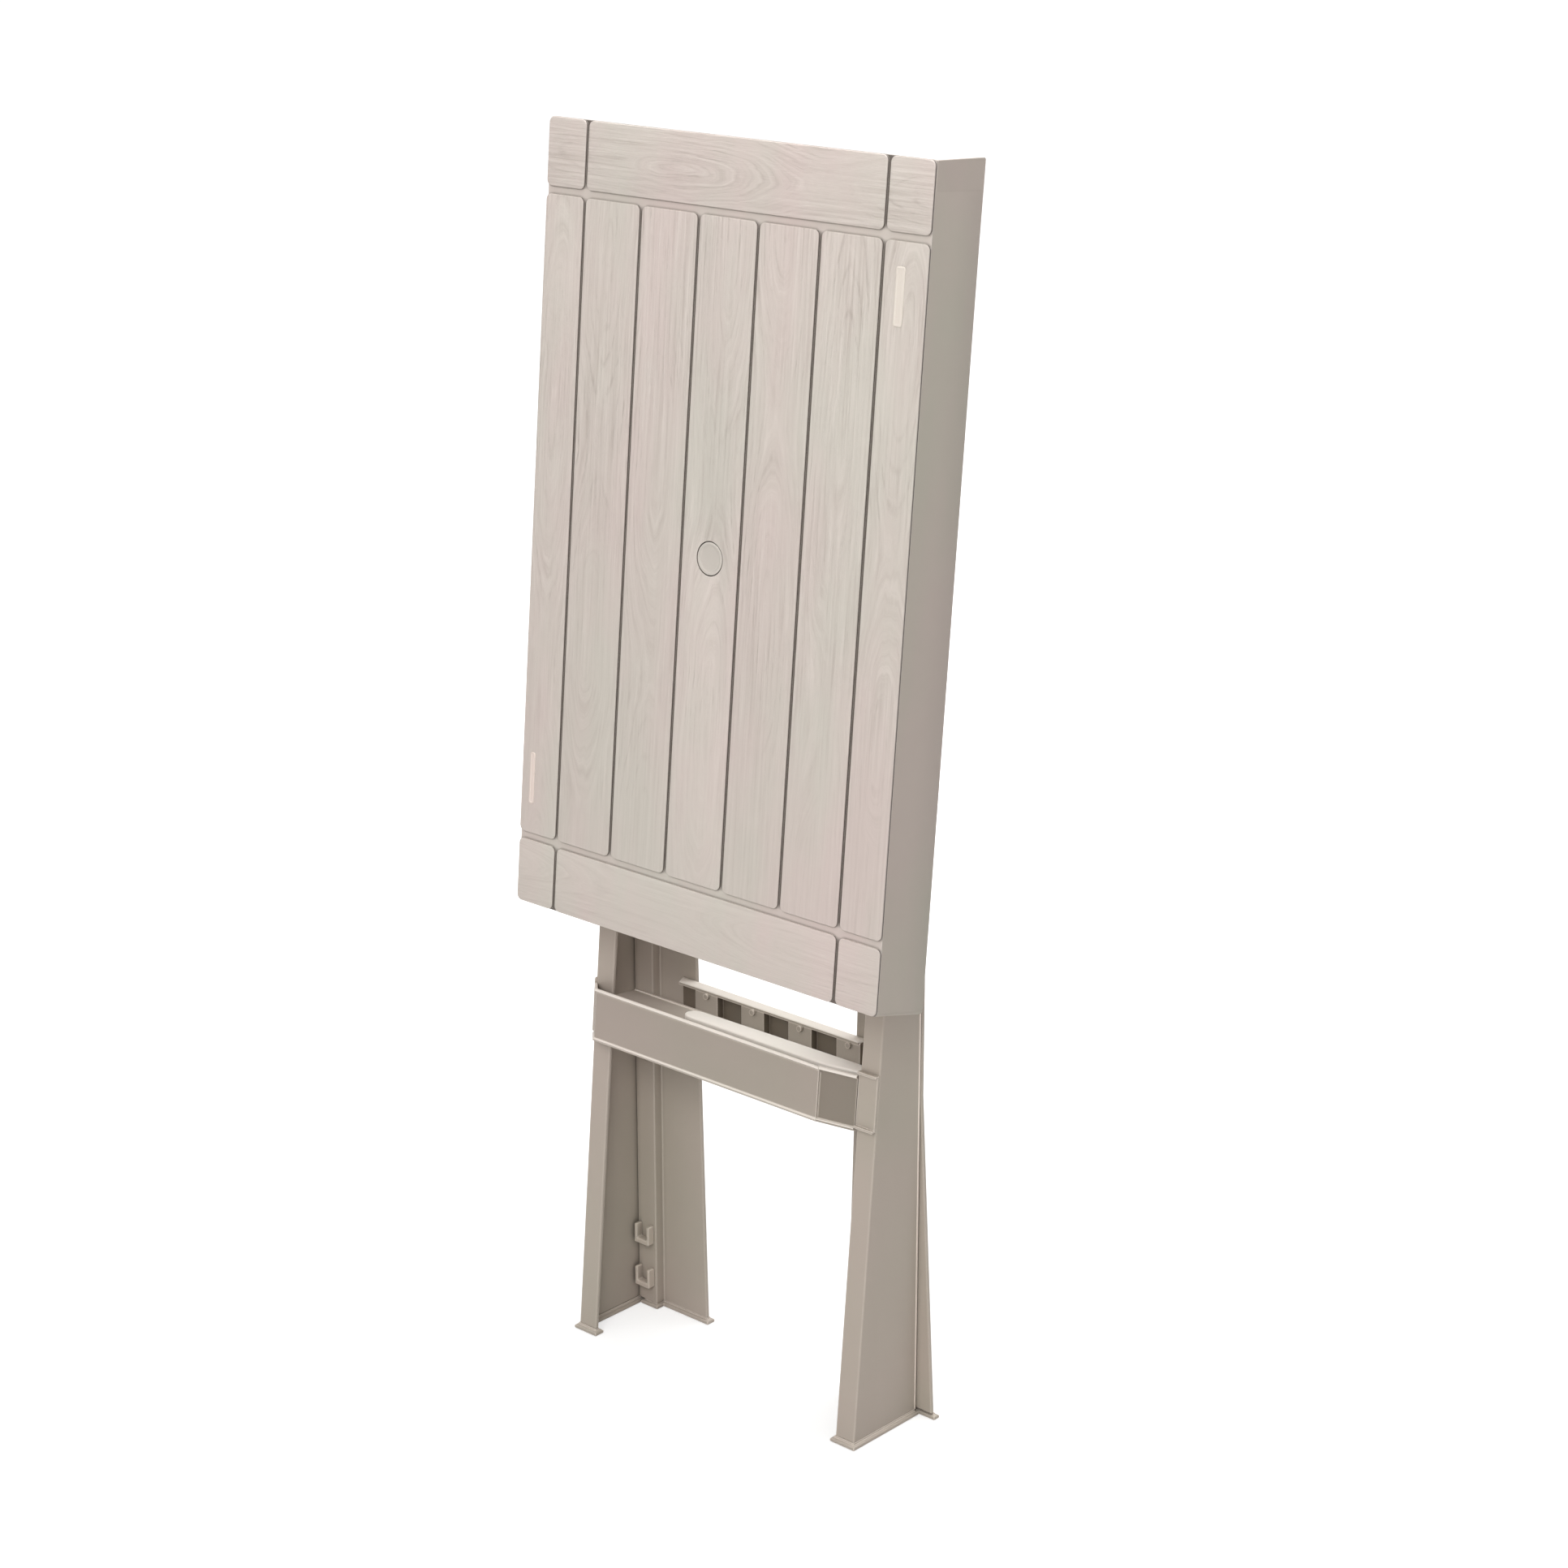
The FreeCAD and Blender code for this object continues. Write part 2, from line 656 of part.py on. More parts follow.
front_crossbar()
grip_strip()
front_top_beam()
rear_crossbar()
rear_top_beam()
tabletop_shell()
hole_cap()
name_plate("badge_plate", "196.5", "621")
name_plate("blank_emblem", "-211", "122")
for word, side in SIDES:
    front_leg("front_leg_" + word, side)
    front_foot("front_foot_" + word, side)
    crossbar_collar("crossbar_collar_" + word, side)
    rest_pad("rest_pad_" + word, side)
    rear_leg("rear_leg_" + word, side)
    rear_foot("rear_foot_" + word, side)
    rear_knuckle("rear_knuckle_" + word, side)
    leg_clip("leg_clip_low_" + word, side, 24)
    leg_clip("leg_clip_high_" + word, side, 71)
    hinge_bracket("hinge_bracket_" + word, side)
    bracket_screw("bracket_screw_low_" + word, side, -46)
    bracket_screw("bracket_screw_high_" + word, side, 46)
    ends = ("leg_half + 0.5", "leg_half + 5") if side > 0 else ("-leg_half - 5", "-leg_half - 0.5")
    cylinder("rod_cap_" + word, ends[0], ends[1], "rod_radius + 4")
    near, far = "arm_inner + arm_width + 0.5", "leg_half - leg_wall"
    gap = (near, far) if side > 0 else ("-(%s)" % far, "-(%s)" % near)
    cylinder("rod_spacer_" + word, gap[0], gap[1], "rod_radius + 3", "rod_radius")
cylinder("hinge_rod", "-leg_half - 0.5", "leg_half + 0.5", "rod_radius")
for number, step in enumerate((-1.5, -0.5, 0.5, 1.5), 1):
    crossbar_peg("crossbar_peg_%d" % number, step)

# ---------------------------------------------------------------- checks and files
doc.recompute()
for item in doc.Objects:
    if {"Invalid", "Error"} & set(item.State):
        raise RuntimeError("%s did not recompute: %s" % (item.Label, item.State))

inner = set()
for item in doc.Objects:
    if item.isDerivedFrom("Part::Cut"):
        inner.update((item.Base.Name, item.Tool.Name))
pieces = [
    item
    for item in doc.Objects
    if item.Name not in inner
    and (item.isDerivedFrom("PartDesign::Body") or item.TypeId in ("Part::Cut", "Part::Cylinder"))
]
os.makedirs("parts", exist_ok=True)
for item in pieces:
    shape = item.Shape
    if shape.isNull() or not shape.isValid() or len(shape.Solids) != 1:
        raise RuntimeError("%s is not one sound solid" % item.Label)
for item in pieces:
    item.Shape.exportStep("parts/%s.step" % item.Label)
    print("%-26s %9.0f mm3" % (item.Label, item.Shape.Volume))
print(len(pieces), "nodes")
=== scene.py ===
import json
import math

import bmesh
import bpy
from mathutils import Matrix, Vector


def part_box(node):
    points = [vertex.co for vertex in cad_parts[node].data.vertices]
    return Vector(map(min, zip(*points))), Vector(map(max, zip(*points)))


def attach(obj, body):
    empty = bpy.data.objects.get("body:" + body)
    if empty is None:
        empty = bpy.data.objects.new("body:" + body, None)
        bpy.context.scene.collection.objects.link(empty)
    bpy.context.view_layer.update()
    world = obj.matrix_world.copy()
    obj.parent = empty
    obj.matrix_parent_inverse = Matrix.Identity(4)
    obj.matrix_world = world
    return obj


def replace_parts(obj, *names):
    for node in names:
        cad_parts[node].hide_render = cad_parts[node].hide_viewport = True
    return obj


# A folding trestle table in moulded plastic, folded: its tray of planks stands upright in front of
# the two leg frames. Named sizes are in millimetres, and MM turns them into the frame's metres.

MM = 0.001
LEAN = math.radians(5.155)
TRAY_WIDTH = 450.0
TRAY_LENGTH = 735.0
SKIRT_DEPTH = 66.0
FLARE_LOW = 11.0
FLARE_TOP = 2.0
END_INSET = 10.0
LEFT_SHORT = 5.0
SKIRT_WALL = 4.0
SKIRT_CORNER = 4.0
SKIRT_GAP = 0.05
FACE_SKIN = 5.0
GROOVE_DEPTH = 2.5
GROOVE_WIDTH = 3.4
RAIL_GROOVE = 7.0
RAIL_WIDTH = 65.0
PLANK_PITCH = 70.4
PLANK_CORNER = 5.5
PLANK_EDGE = 0.9
CAP_RADIUS = 14.8
SEAT_RADIUS = 15.7
SEAT_DEPTH = 3.2
HOLE_RADIUS = 13.0
BOSS_RADIUS = 19.0
BOSS_END = 29.0
RIB_HALF = 1.5
RIB_DEPTH = 12.0
RIB_CUT = 0.4
RIBS_ALONG = (-190.0, -60.0, 60.0, 190.0)
RIBS_ACROSS = (110.0, 190.0, 440.0, 540.0, 640.0)
PLATE_HALF = 25.0
PLATE_CORNER = 2.4
PLATE_PROUD = 0.7
BADGE_SPOT = (196.5, 621.0)
EMBLEM_SPOT = (-211.0, 122.0)
FOOT_LIP = 3.5
LEG_WALL = 4.0
BOARD_FACE = 88.3
CHANNEL_FACE = 78.6
CHANNEL_INNER = 149.0
CHANNEL_OUTER = 171.6
BEAD_INNER = 2.0
BEAD_PROUD = 0.4
BEAD_DEPTH = 2.8
BAR_LOW = 307.5
BAR_HIGH = 360.0
BAR_PROUD = 13.0
BAR_RIBS = (-90.0, -30.0, 30.0, 90.0)
LEDGE_TOP = 354.2
SLANT_START = 119.0
STRIP_LEFT = -52.0
CELL_PITCH = 60.0
CELL_SHIFT = 11.5
PAD_HALF = 14.5
CORNER_STEPS = 6
CIRCLE_STEPS = 64

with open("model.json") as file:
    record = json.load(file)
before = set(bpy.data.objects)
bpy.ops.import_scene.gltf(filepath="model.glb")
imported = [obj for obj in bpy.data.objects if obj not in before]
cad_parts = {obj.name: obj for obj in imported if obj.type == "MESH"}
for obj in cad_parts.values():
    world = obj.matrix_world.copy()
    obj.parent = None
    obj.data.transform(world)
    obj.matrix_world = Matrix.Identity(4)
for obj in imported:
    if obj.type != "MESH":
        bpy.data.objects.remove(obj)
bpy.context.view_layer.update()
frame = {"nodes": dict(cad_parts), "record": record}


# ---------------------------------------------------------------- places
def tray_frame():
    """The tray's own axes: x across, y into the tray, z along it from its lower edge."""
    low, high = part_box("tabletop_shell")
    rise = high.z - TRAY_LENGTH * MM * math.cos(LEAN)
    return Matrix.Translation((0.0, low.y, rise)) @ Matrix.Rotation(-LEAN, 4, "X")


def front_frame():
    """The front legs' axes: x across, y back from their flanges, z up along them from the floor."""
    low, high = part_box("front_leg_left")
    line = low.y - low.z * math.tan(LEAN)
    return Matrix.Translation((0.0, line, 0.0)) @ Matrix.Rotation(-LEAN, 4, "X")


TRAY = tray_frame()
FRONT = front_frame()
UPRIGHT = Matrix.Translation((0.0, FRONT.translation.y, 0.0))


def linear(red, green, blue):
    """Screen colour, 0 to 255, as the light values that the shader takes."""
    values = []
    for level in (red, green, blue):
        part = level / 255.0
        values.append(part / 12.92 if part <= 0.04045 else ((part + 0.055) / 1.055) ** 2.4)
    return (*values, 1.0)


# ---------------------------------------------------------------- node helpers
class Nodes:
    """Short names for building one material's nodes."""

    def __init__(self, name):
        self.material = bpy.data.materials.new(name)
        self.material.use_nodes = True
        self.tree = self.material.node_tree
        self.tree.nodes.clear()
        self.output = self.tree.nodes.new("ShaderNodeOutputMaterial")
        self.shader = self.tree.nodes.new("ShaderNodeBsdfPrincipled")
        self.link(self.shader.outputs[0], self.output.inputs["Surface"])
        self.place = self.new("ShaderNodeTexCoord").outputs["Object"]

    def from_frame(self, matrix):
        """Places measured in another frame's axes."""
        node = self.new("ShaderNodeMapping", vector_type="TEXTURE")
        node.inputs["Location"].default_value = matrix.to_translation()
        node.inputs["Rotation"].default_value = matrix.to_euler()
        self.link(self.place, node.inputs["Vector"])
        return node.outputs[0]

    def new(self, kind, **settings):
        node = self.tree.nodes.new(kind)
        for name, setting in settings.items():
            setattr(node, name, setting)
        return node

    def link(self, source, target):
        if hasattr(source, "links"):
            self.tree.links.new(source, target)
        else:
            target.default_value = source

    def math(self, operation, *inputs):
        node = self.new("ShaderNodeMath", operation=operation)
        for index, source in enumerate(inputs):
            self.link(source, node.inputs[index])
        return node.outputs[0]

    def split(self, vector):
        node = self.new("ShaderNodeSeparateXYZ")
        self.link(vector, node.inputs[0])
        return node.outputs

    def join(self, x, y, z):
        node = self.new("ShaderNodeCombineXYZ")
        for index, source in enumerate((x, y, z)):
            self.link(source, node.inputs[index])
        return node.outputs[0]

    def noise(self, vector, scale, detail=3.0, roughness=0.5, distortion=0.0):
        node = self.new("ShaderNodeTexNoise")
        self.link(vector, node.inputs["Vector"])
        node.inputs["Scale"].default_value = scale
        node.inputs["Detail"].default_value = detail
        node.inputs["Roughness"].default_value = roughness
        node.inputs["Distortion"].default_value = distortion
        return node.outputs[0]

    def stretch(self, vector, x, y, z):
        node = self.new("ShaderNodeVectorMath", operation="MULTIPLY")
        self.link(vector, node.inputs[0])
        node.inputs[1].default_value = (x, y, z)
        return node.outputs[0]

    def random(self, number, seed):
        """A steady value from 0 to 1 for each whole number."""
        node = self.new("ShaderNodeTexWhiteNoise", noise_dimensions="1D")
        self.link(self.math("ADD", number, seed), node.inputs["W"])
        return node.outputs[0]

    def range(self, source, low, high, to_low=0.0, to_high=1.0, smooth=False):
        node = self.new("ShaderNodeMapRange")
        if smooth:
            node.interpolation_type = "SMOOTHSTEP"
        self.link(source, node.inputs["Value"])
        for name, setting in (
            ("From Min", low),
            ("From Max", high),
            ("To Min", to_low),
            ("To Max", to_high),
        ):
            node.inputs[name].default_value = setting
        return node.outputs[0]

    def mix(self, factor, first, second):
        node = self.new("ShaderNodeMix", data_type="RGBA")
        self.link(factor, node.inputs[0])
        self.link(first, node.inputs[6])
        self.link(second, node.inputs[7])
        return node.outputs[2]

    def edge(self, radius, full=0.86):
        """0 on flat ground and rising to 1 on corners sharper than the radius."""
        bevel = self.new("ShaderNodeBevel", samples=6)
        bevel.inputs["Radius"].default_value = radius
        normal = self.new("ShaderNodeNewGeometry").outputs["Normal"]
        dot = self.new("ShaderNodeVectorMath", operation="DOT_PRODUCT")
        self.link(bevel.outputs[0], dot.inputs[0])
        self.link(normal, dot.inputs[1])
        return self.range(dot.outputs["Value"], 0.997, full)

    def crevice(self, reach, opening=0.72, closing=0.25):
        """0 on open ground and rising to 1 deep inside corners narrower than the reach."""
        hidden = self.new("ShaderNodeAmbientOcclusion", samples=8)
        hidden.inputs["Distance"].default_value = reach
        return self.range(hidden.outputs["AO"], opening, closing)

    def bump(self, *layers):
        """Chains bumps, each a height and its depth in metres."""
        normal = None
        for height, depth in layers:
            node = self.new("ShaderNodeBump")
            node.inputs["Strength"].default_value = 1.0
            node.inputs["Distance"].default_value = depth
            self.link(height, node.inputs["Height"])
            if normal is not None:
                self.link(normal, node.inputs["Normal"])
            normal = node.outputs[0]
        self.link(normal, self.shader.inputs["Normal"])


HIGHLIGHT_REACH = 0.0018


def plastic(name, tone, highlight_tone, rough=0.48):
    """Moulded plastic: faint mottling, fine spark texture, uneven gloss, painted highlights on edges,
    painted shade in corners.
    """
    red, green, blue = tone
    cool = linear(red - 3, green, blue - 2)
    warm = linear(red + 4, green + 1, blue + 3)
    made = Nodes(name)
    cloud = made.noise(made.place, 5.0, 2.0)
    patch = made.noise(made.place, 23.0, 3.0, 0.6)
    speck = made.noise(made.place, 1500.0, 2.0)
    tint = made.mix(made.range(cloud, 0.35, 0.65), cool, warm)
    body = made.mix(made.range(patch, 0.3, 0.7, 0.0, 0.5), tint, linear(*tone))
    flecked = made.mix(made.range(speck, 0.62, 0.8, 0.0, 0.10), body, linear(120, 112, 104))
    # Painted shade: corners and crevices found by occlusion are darkened towards half the tone.
    crevice_shade_painted = made.mix(
        made.math("MULTIPLY", made.crevice(0.014), 0.48),
        flecked,
        linear(red * 0.5, green * 0.48, blue * 0.46),
    )
    # Painted highlight: convex edges are lightened towards the highlight tone.
    edge_highlight_mask = made.math("MULTIPLY", made.edge(HIGHLIGHT_REACH, 0.92), 0.85)
    edge_highlight_painted = made.mix(edge_highlight_mask, crevice_shade_painted, linear(*highlight_tone))
    made.link(edge_highlight_painted, made.shader.inputs["Base Color"])
    scuff = made.noise(made.stretch(made.place, 60.0, 60.0, 9.0), 1.0, 5.0, 0.65)
    gloss = made.range(scuff, 0.3, 0.75, rough - 0.06, rough + 0.08)
    made.link(gloss, made.shader.inputs["Roughness"])
    made.shader.inputs["Specular IOR Level"].default_value = 0.42
    made.bump((speck, 0.00003), (patch, 0.00012))
    return made.material


# Planks are boards 0 to 6 from left to right, and the end rails are two more boards.
MIDDLE_PLANK = 3.0
LOWER_RAIL = 11.0
RAIL_PITCH = (TRAY_LENGTH - 61.5) * MM
RAIL_MIDDLE = 30.7 * MM
RING_PITCH = 0.0031


def boards(made, x, up):
    """The number of the board at a place, and how far across and along that board it is."""
    on_rail = made.math(
        "GREATER_THAN",
        made.math("ABSOLUTE", made.math("SUBTRACT", up, TRAY_LENGTH * MM / 2)),
        (TRAY_LENGTH / 2 - RAIL_WIDTH) * MM,
    )
    pitches = made.math("DIVIDE", x, PLANK_PITCH * MM)
    plank = made.math("FLOOR", made.math("ADD", pitches, MIDDLE_PLANK + 0.5))
    rail = made.math("ADD", made.math("GREATER_THAN", up, TRAY_LENGTH * MM / 2), LOWER_RAIL)
    board = made.math(
        "ADD",
        made.math("MULTIPLY", plank, made.math("SUBTRACT", 1.0, on_rail)),
        made.math("MULTIPLY", rail, on_rail),
    )

    def choose(plain, turned):
        """One value on planks and another on the end rails."""
        keep = made.math("MULTIPLY", plain, made.math("SUBTRACT", 1.0, on_rail))
        return made.math("ADD", keep, made.math("MULTIPLY", turned, on_rail))

    plank_middle = made.math("MULTIPLY", made.math("SUBTRACT", plank, MIDDLE_PLANK), PLANK_PITCH * MM)
    rail_middle = made.math(
        "ADD",
        made.math("MULTIPLY", made.math("SUBTRACT", rail, LOWER_RAIL), RAIL_PITCH),
        RAIL_MIDDLE,
    )
    side = choose(made.math("SUBTRACT", x, plank_middle), made.math("SUBTRACT", up, rail_middle))
    return board, side, choose(up, x)


def rings(made, spot, board, side, along):
    """Distance from a board's heart, bowed and warped so that equal values draw the rings."""
    wander = made.noise(made.stretch(spot, 14.0, 1.0, 5.0), 1.0, 2.0)
    sway = made.math("MULTIPLY", made.math("SUBTRACT", wander, 0.5), 0.016)
    heart = made.math("MULTIPLY", made.math("SUBTRACT", made.random(board, 4.3), 0.5), 0.018)
    wave = made.math(
        "SINE",
        made.math(
            "ADD",
            made.math("MULTIPLY", along, made.range(made.random(board, 8.1), 0.0, 1.0, 11.0, 19.0)),
            made.math("MULTIPLY", made.random(board, 1.7), 6.28),
        ),
    )
    bow = made.math("ADD", made.math("MULTIPLY", wave, 0.0125), 0.0165)
    off = made.math("ADD", made.math("SUBTRACT", side, heart), sway)
    radius = made.math(
        "SQRT", made.math("ADD", made.math("POWER", off, 2.0), made.math("POWER", bow, 2.0))
    )
    ripple = made.math("MULTIPLY", made.noise(made.stretch(spot, 130.0, 1.0, 22.0), 1.0, 4.0), 0.0030)
    drift = made.math("MULTIPLY", made.noise(made.stretch(spot, 40.0, 1.0, 7.0), 1.0, 2.0), 0.0060)
    return made.math("ADD", made.math("ADD", radius, ripple), drift)


def ring_grooves(made, spot, warped):
    """Grooves on the rings, torn and only in patches."""
    ring = made.math("PINGPONG", made.math("DIVIDE", warped, RING_PITCH), 1.0)
    torn = made.range(made.noise(made.stretch(spot, 210.0, 1.0, 60.0), 1.0, 3.0), 0.38, 0.6)
    patchy = made.range(made.noise(made.stretch(spot, 26.0, 1.0, 11.0), 1.0, 2.0), 0.42, 0.62)
    groove = made.range(ring, 0.0, 0.38, 1.0, 0.0, smooth=True)
    return made.math("MULTIPLY", groove, made.math("MULTIPLY", torn, patchy))


def fibres(made, spot, warped, board, along):
    """Fine fibre that follows the rings in some patches and runs straight in others."""
    flow = made.join(
        made.math("MULTIPLY", warped, 560.0),
        made.math("MULTIPLY", board, 5.1),
        made.math("MULTIPLY", along, 13.0),
    )
    swirl = made.noise(flow, 1.0, 5.0, 0.68)
    straight = made.noise(made.stretch(spot, 400.0, 1.0, 9.0), 1.0, 5.0, 0.65, 0.4)
    lean = made.range(made.noise(made.stretch(spot, 17.0, 1.0, 7.0), 1.0, 2.0), 0.44, 0.58)
    return made.math(
        "ADD",
        made.math("MULTIPLY", swirl, lean),
        made.math("MULTIPLY", straight, made.math("SUBTRACT", 1.0, lean)),
    )


def groove_shade_painted(made, depth, up):
    """How much painted shade a plank groove gets: on its walls that face right, away from the light, and
    on its floor off the rails.
    """
    from_rail = made.math(
        "ABSOLUTE",
        made.math(
            "SUBTRACT",
            made.math("ABSOLUTE", made.math("SUBTRACT", up, TRAY_LENGTH * MM / 2)),
            (TRAY_LENGTH / 2 - RAIL_WIDTH) * MM,
        ),
    )
    facing = made.split(made.new("ShaderNodeTexCoord").outputs["Normal"])[0]
    wall = made.range(facing, 0.15, 0.5, 0.0, 0.95)
    ground = made.range(from_rail, 0.0035, 0.0090, 0.0, 0.80)
    painted_share = made.math("MULTIPLY", made.math("MAXIMUM", wall, ground), made.range(depth, 0.0006, 0.0017))
    return made.math("MULTIPLY", painted_share, made.math("LESS_THAN", depth, 0.0027))


def plank_plastic(name):
    """The tray's plastic, with the rings and pores of sawn boards moulded into each plank."""
    made = Nodes(name)
    made.place = made.from_frame(TRAY)
    x, depth, up = made.split(made.place)
    board, side, along = boards(made, x, up)
    spot = made.join(side, made.math("MULTIPLY", board, 3.7), along)
    warped = rings(made, spot, board, side, along)
    groove = ring_grooves(made, spot, warped)
    fibre = fibres(made, spot, warped, board, along)
    pores = made.range(
        made.noise(made.stretch(spot, 900.0, 1.0, 60.0), 1.0, 3.0, 0.7), 0.54, 0.72, 0.0, 1.0
    )

    front = made.math("LESS_THAN", depth, 0.0006)
    strength = made.math("MULTIPLY", front, made.range(up, 0.02, 0.45, 0.45, 1.0, smooth=True))
    uneven = made.range(made.noise(made.place, 9.0, 2.0), 0.3, 0.7, 0.45, 1.0)
    strength = made.math("MULTIPLY", strength, uneven)
    cut = made.math("MULTIPLY", groove, strength)
    holes = made.math("MULTIPLY", pores, strength)
    light_fibre = made.math("MULTIPLY", made.range(fibre, 0.50, 0.66), strength)
    dark_fibre = made.math("MULTIPLY", made.range(fibre, 0.48, 0.34), strength)
    relief = made.math("MULTIPLY", fibre, strength)

    cloud = made.noise(made.stretch(made.place, 9.0, 9.0, 3.2), 1.0, 3.0, 0.55)
    green = linear(206, 201, 192)
    rose = linear(212, 198, 193)
    skirt_cool = linear(183, 178, 166)
    skirt_warm = linear(188, 177, 169)
    body = made.mix(made.range(cloud, 0.38, 0.62), green, rose)
    board_shade = made.range(made.random(board, 2.9), 0.0, 1.0, 0.0, 0.22)
    body = made.mix(board_shade, body, linear(194, 185, 177))
    body = made.mix(made.math("MULTIPLY", cut, 0.34), body, linear(150, 138, 130))
    body = made.mix(made.math("MULTIPLY", dark_fibre, 0.44), body, linear(172, 160, 152))
    body = made.mix(made.math("MULTIPLY", light_fibre, 0.44), body, linear(232, 224, 217))
    body = made.mix(made.math("MULTIPLY", holes, 0.22), body, linear(240, 234, 228))
    speck = made.noise(made.place, 1500.0, 2.0)
    body = made.mix(made.range(speck, 0.62, 0.8, 0.0, 0.08), body, linear(140, 132, 124))
    # Painted shade in the plank grooves, darkest on the walls that face right.
    body = made.mix(groove_shade_painted(made, depth, up), body, linear(60, 50, 43))
    behind = made.range(depth, 0.0026, 0.0034, 0.0, 0.9)
    body = made.mix(behind, body, made.mix(made.range(cloud, 0.38, 0.62), skirt_cool, skirt_warm))
    # Painted shade: narrow crevices found by occlusion are darkened.
    occlusion_shade_painted = made.math("MULTIPLY", made.crevice(0.0035, 0.85, 0.45), 0.8)
    body = made.mix(occlusion_shade_painted, body, linear(92, 82, 73))
    # Painted highlight: the rounded edges of the blocks are lightened.
    edge_highlight_painted = made.math("MULTIPLY", made.edge(0.0012), 0.5)
    body = made.mix(edge_highlight_painted, body, linear(240, 234, 227))
    made.link(body, made.shader.inputs["Base Color"])
    gloss = made.range(made.noise(made.place, 31.0, 4.0, 0.6), 0.3, 0.7, 0.47, 0.60)
    made.link(gloss, made.shader.inputs["Roughness"])
    made.shader.inputs["Specular IOR Level"].default_value = 0.38
    made.bump(
        (speck, 0.00002),
        (made.math("SUBTRACT", 1.0, cut), 0.00034),
        (relief, 0.0009),
        (made.math("SUBTRACT", 1.0, holes), 0.00018),
    )
    return made.material


def steel(name):
    """Drawn bar: bright along its length with fine rings from turning."""
    made = Nodes(name)
    turned = made.noise(made.stretch(made.place, 2400.0, 90.0, 90.0), 1.0, 3.0)
    stain = made.noise(made.place, 60.0, 4.0)
    body = made.mix(made.range(stain, 0.4, 0.7, 0.0, 0.5), linear(178, 178, 176), linear(132, 130, 126))
    made.link(body, made.shader.inputs["Base Color"])
    made.shader.inputs["Metallic"].default_value = 1.0
    made.link(made.range(turned, 0.3, 0.7, 0.26, 0.42), made.shader.inputs["Roughness"])
    made.bump((turned, 0.00002))
    return made.material


def rubber(name):
    """Dark rubber with a fine grit."""
    made = Nodes(name)
    grit = made.noise(made.place, 900.0, 3.0)
    body = made.mix(made.range(grit, 0.35, 0.7), linear(58, 56, 54), linear(82, 79, 75))
    made.link(body, made.shader.inputs["Base Color"])
    made.link(made.range(grit, 0.3, 0.7, 0.7, 0.86), made.shader.inputs["Roughness"])
    made.bump((grit, 0.00008))
    return made.material


PLANKS = plank_plastic("plank_plastic")
LEGS = plastic("leg_plastic_moulded", (183, 173, 162), (236, 226, 216))
BAR = plastic("leg_plastic_bar", (173, 163, 153), (238, 230, 220))
# Painted shade: a darker copy of the leg plastic for the crossbar's slanted end.
SLANT_SHADE = plastic("leg_plastic_slant_painted_shade", (142, 133, 122), (206, 197, 186))
# Painted highlight: a pale copy of the leg plastic for rims that catch the light.
RIM_HIGHLIGHT = plastic("leg_plastic_rim_painted_highlight", (246, 238, 229), (250, 244, 237))
# Painted shade: a dark copy of the leg plastic for the rear crossbar's cells.
CELL_SHADE = plastic("leg_plastic_cells_painted_shade", (118, 107, 95), (150, 139, 128))
CLIPS = plastic("leg_plastic_clip", (204, 192, 180), (244, 236, 227))
# Painted highlight: a pale copy of the leg plastic for the bead down each leg web's rear edge.
EDGES = plastic("leg_plastic_edge_painted_highlight", (242, 229, 218), (248, 241, 232))
CAP = plastic("top_plastic_cap", (198, 192, 184), (232, 226, 219))
EMBLEM = plastic("top_plastic_emblem", (226, 211, 202), (238, 230, 222))
TRAY_PLAIN = plastic("top_plastic_moulded", (206, 197, 188), (232, 226, 219))
BADGE = plastic("pale_plastic_badge", (222, 214, 204), (234, 228, 219))
PALE = plastic("pale_plastic_strip", (251, 245, 237), (253, 249, 244), 0.36)
STEEL = steel("drawn_steel")
RUBBER = rubber("pad_rubber")
FINISHES = {
    "top_plastic": TRAY_PLAIN,
    "leg_plastic": LEGS,
    "pale_plastic": PALE,
    "steel": STEEL,
    "rubber": RUBBER,
}


# ---------------------------------------------------------------- mesh helpers
def rounded(low, high, radius):
    """Points round a rectangle with round corners, from two corners given in its plane."""
    (x0, z0), (x1, z1) = low, high
    middles = (
        (x1 - radius, z0 + radius, -90.0),
        (x1 - radius, z1 - radius, 0.0),
        (x0 + radius, z1 - radius, 90.0),
        (x0 + radius, z0 + radius, 180.0),
    )
    points = []
    for across, up, start in middles:
        for step in range(CORNER_STEPS + 1):
            turn = math.radians(start + 90.0 * step / CORNER_STEPS)
            points.append((across + radius * math.cos(turn), up + radius * math.sin(turn)))
    return points


def circle(across, up, radius):
    turns = [2 * math.pi * step / CIRCLE_STEPS for step in range(CIRCLE_STEPS)]
    return [(across + radius * math.cos(t), up + radius * math.sin(t)) for t in turns]


def add_loop(mesh, points, depth):
    return [mesh.verts.new((a * MM, depth * MM, b * MM)) for a, b in points]


def bridge(mesh, first, second):
    """Quads between two loops of the same count."""
    count = len(first)
    for i in range(count):
        j = (i + 1) % count
        mesh.faces.new((first[i], first[j], second[j], second[i]))


def fill_between(mesh, outer, inner):
    """A flat face with a hole in it."""
    edges = []
    for loop in (outer, inner):
        for i, vert in enumerate(loop):
            follow = loop[(i + 1) % len(loop)]
            edge = mesh.edges.get((vert, follow)) or mesh.edges.new((vert, follow))
            edges.append(edge)
    bmesh.ops.triangle_fill(mesh, use_beauty=True, use_dissolve=False, edges=edges)


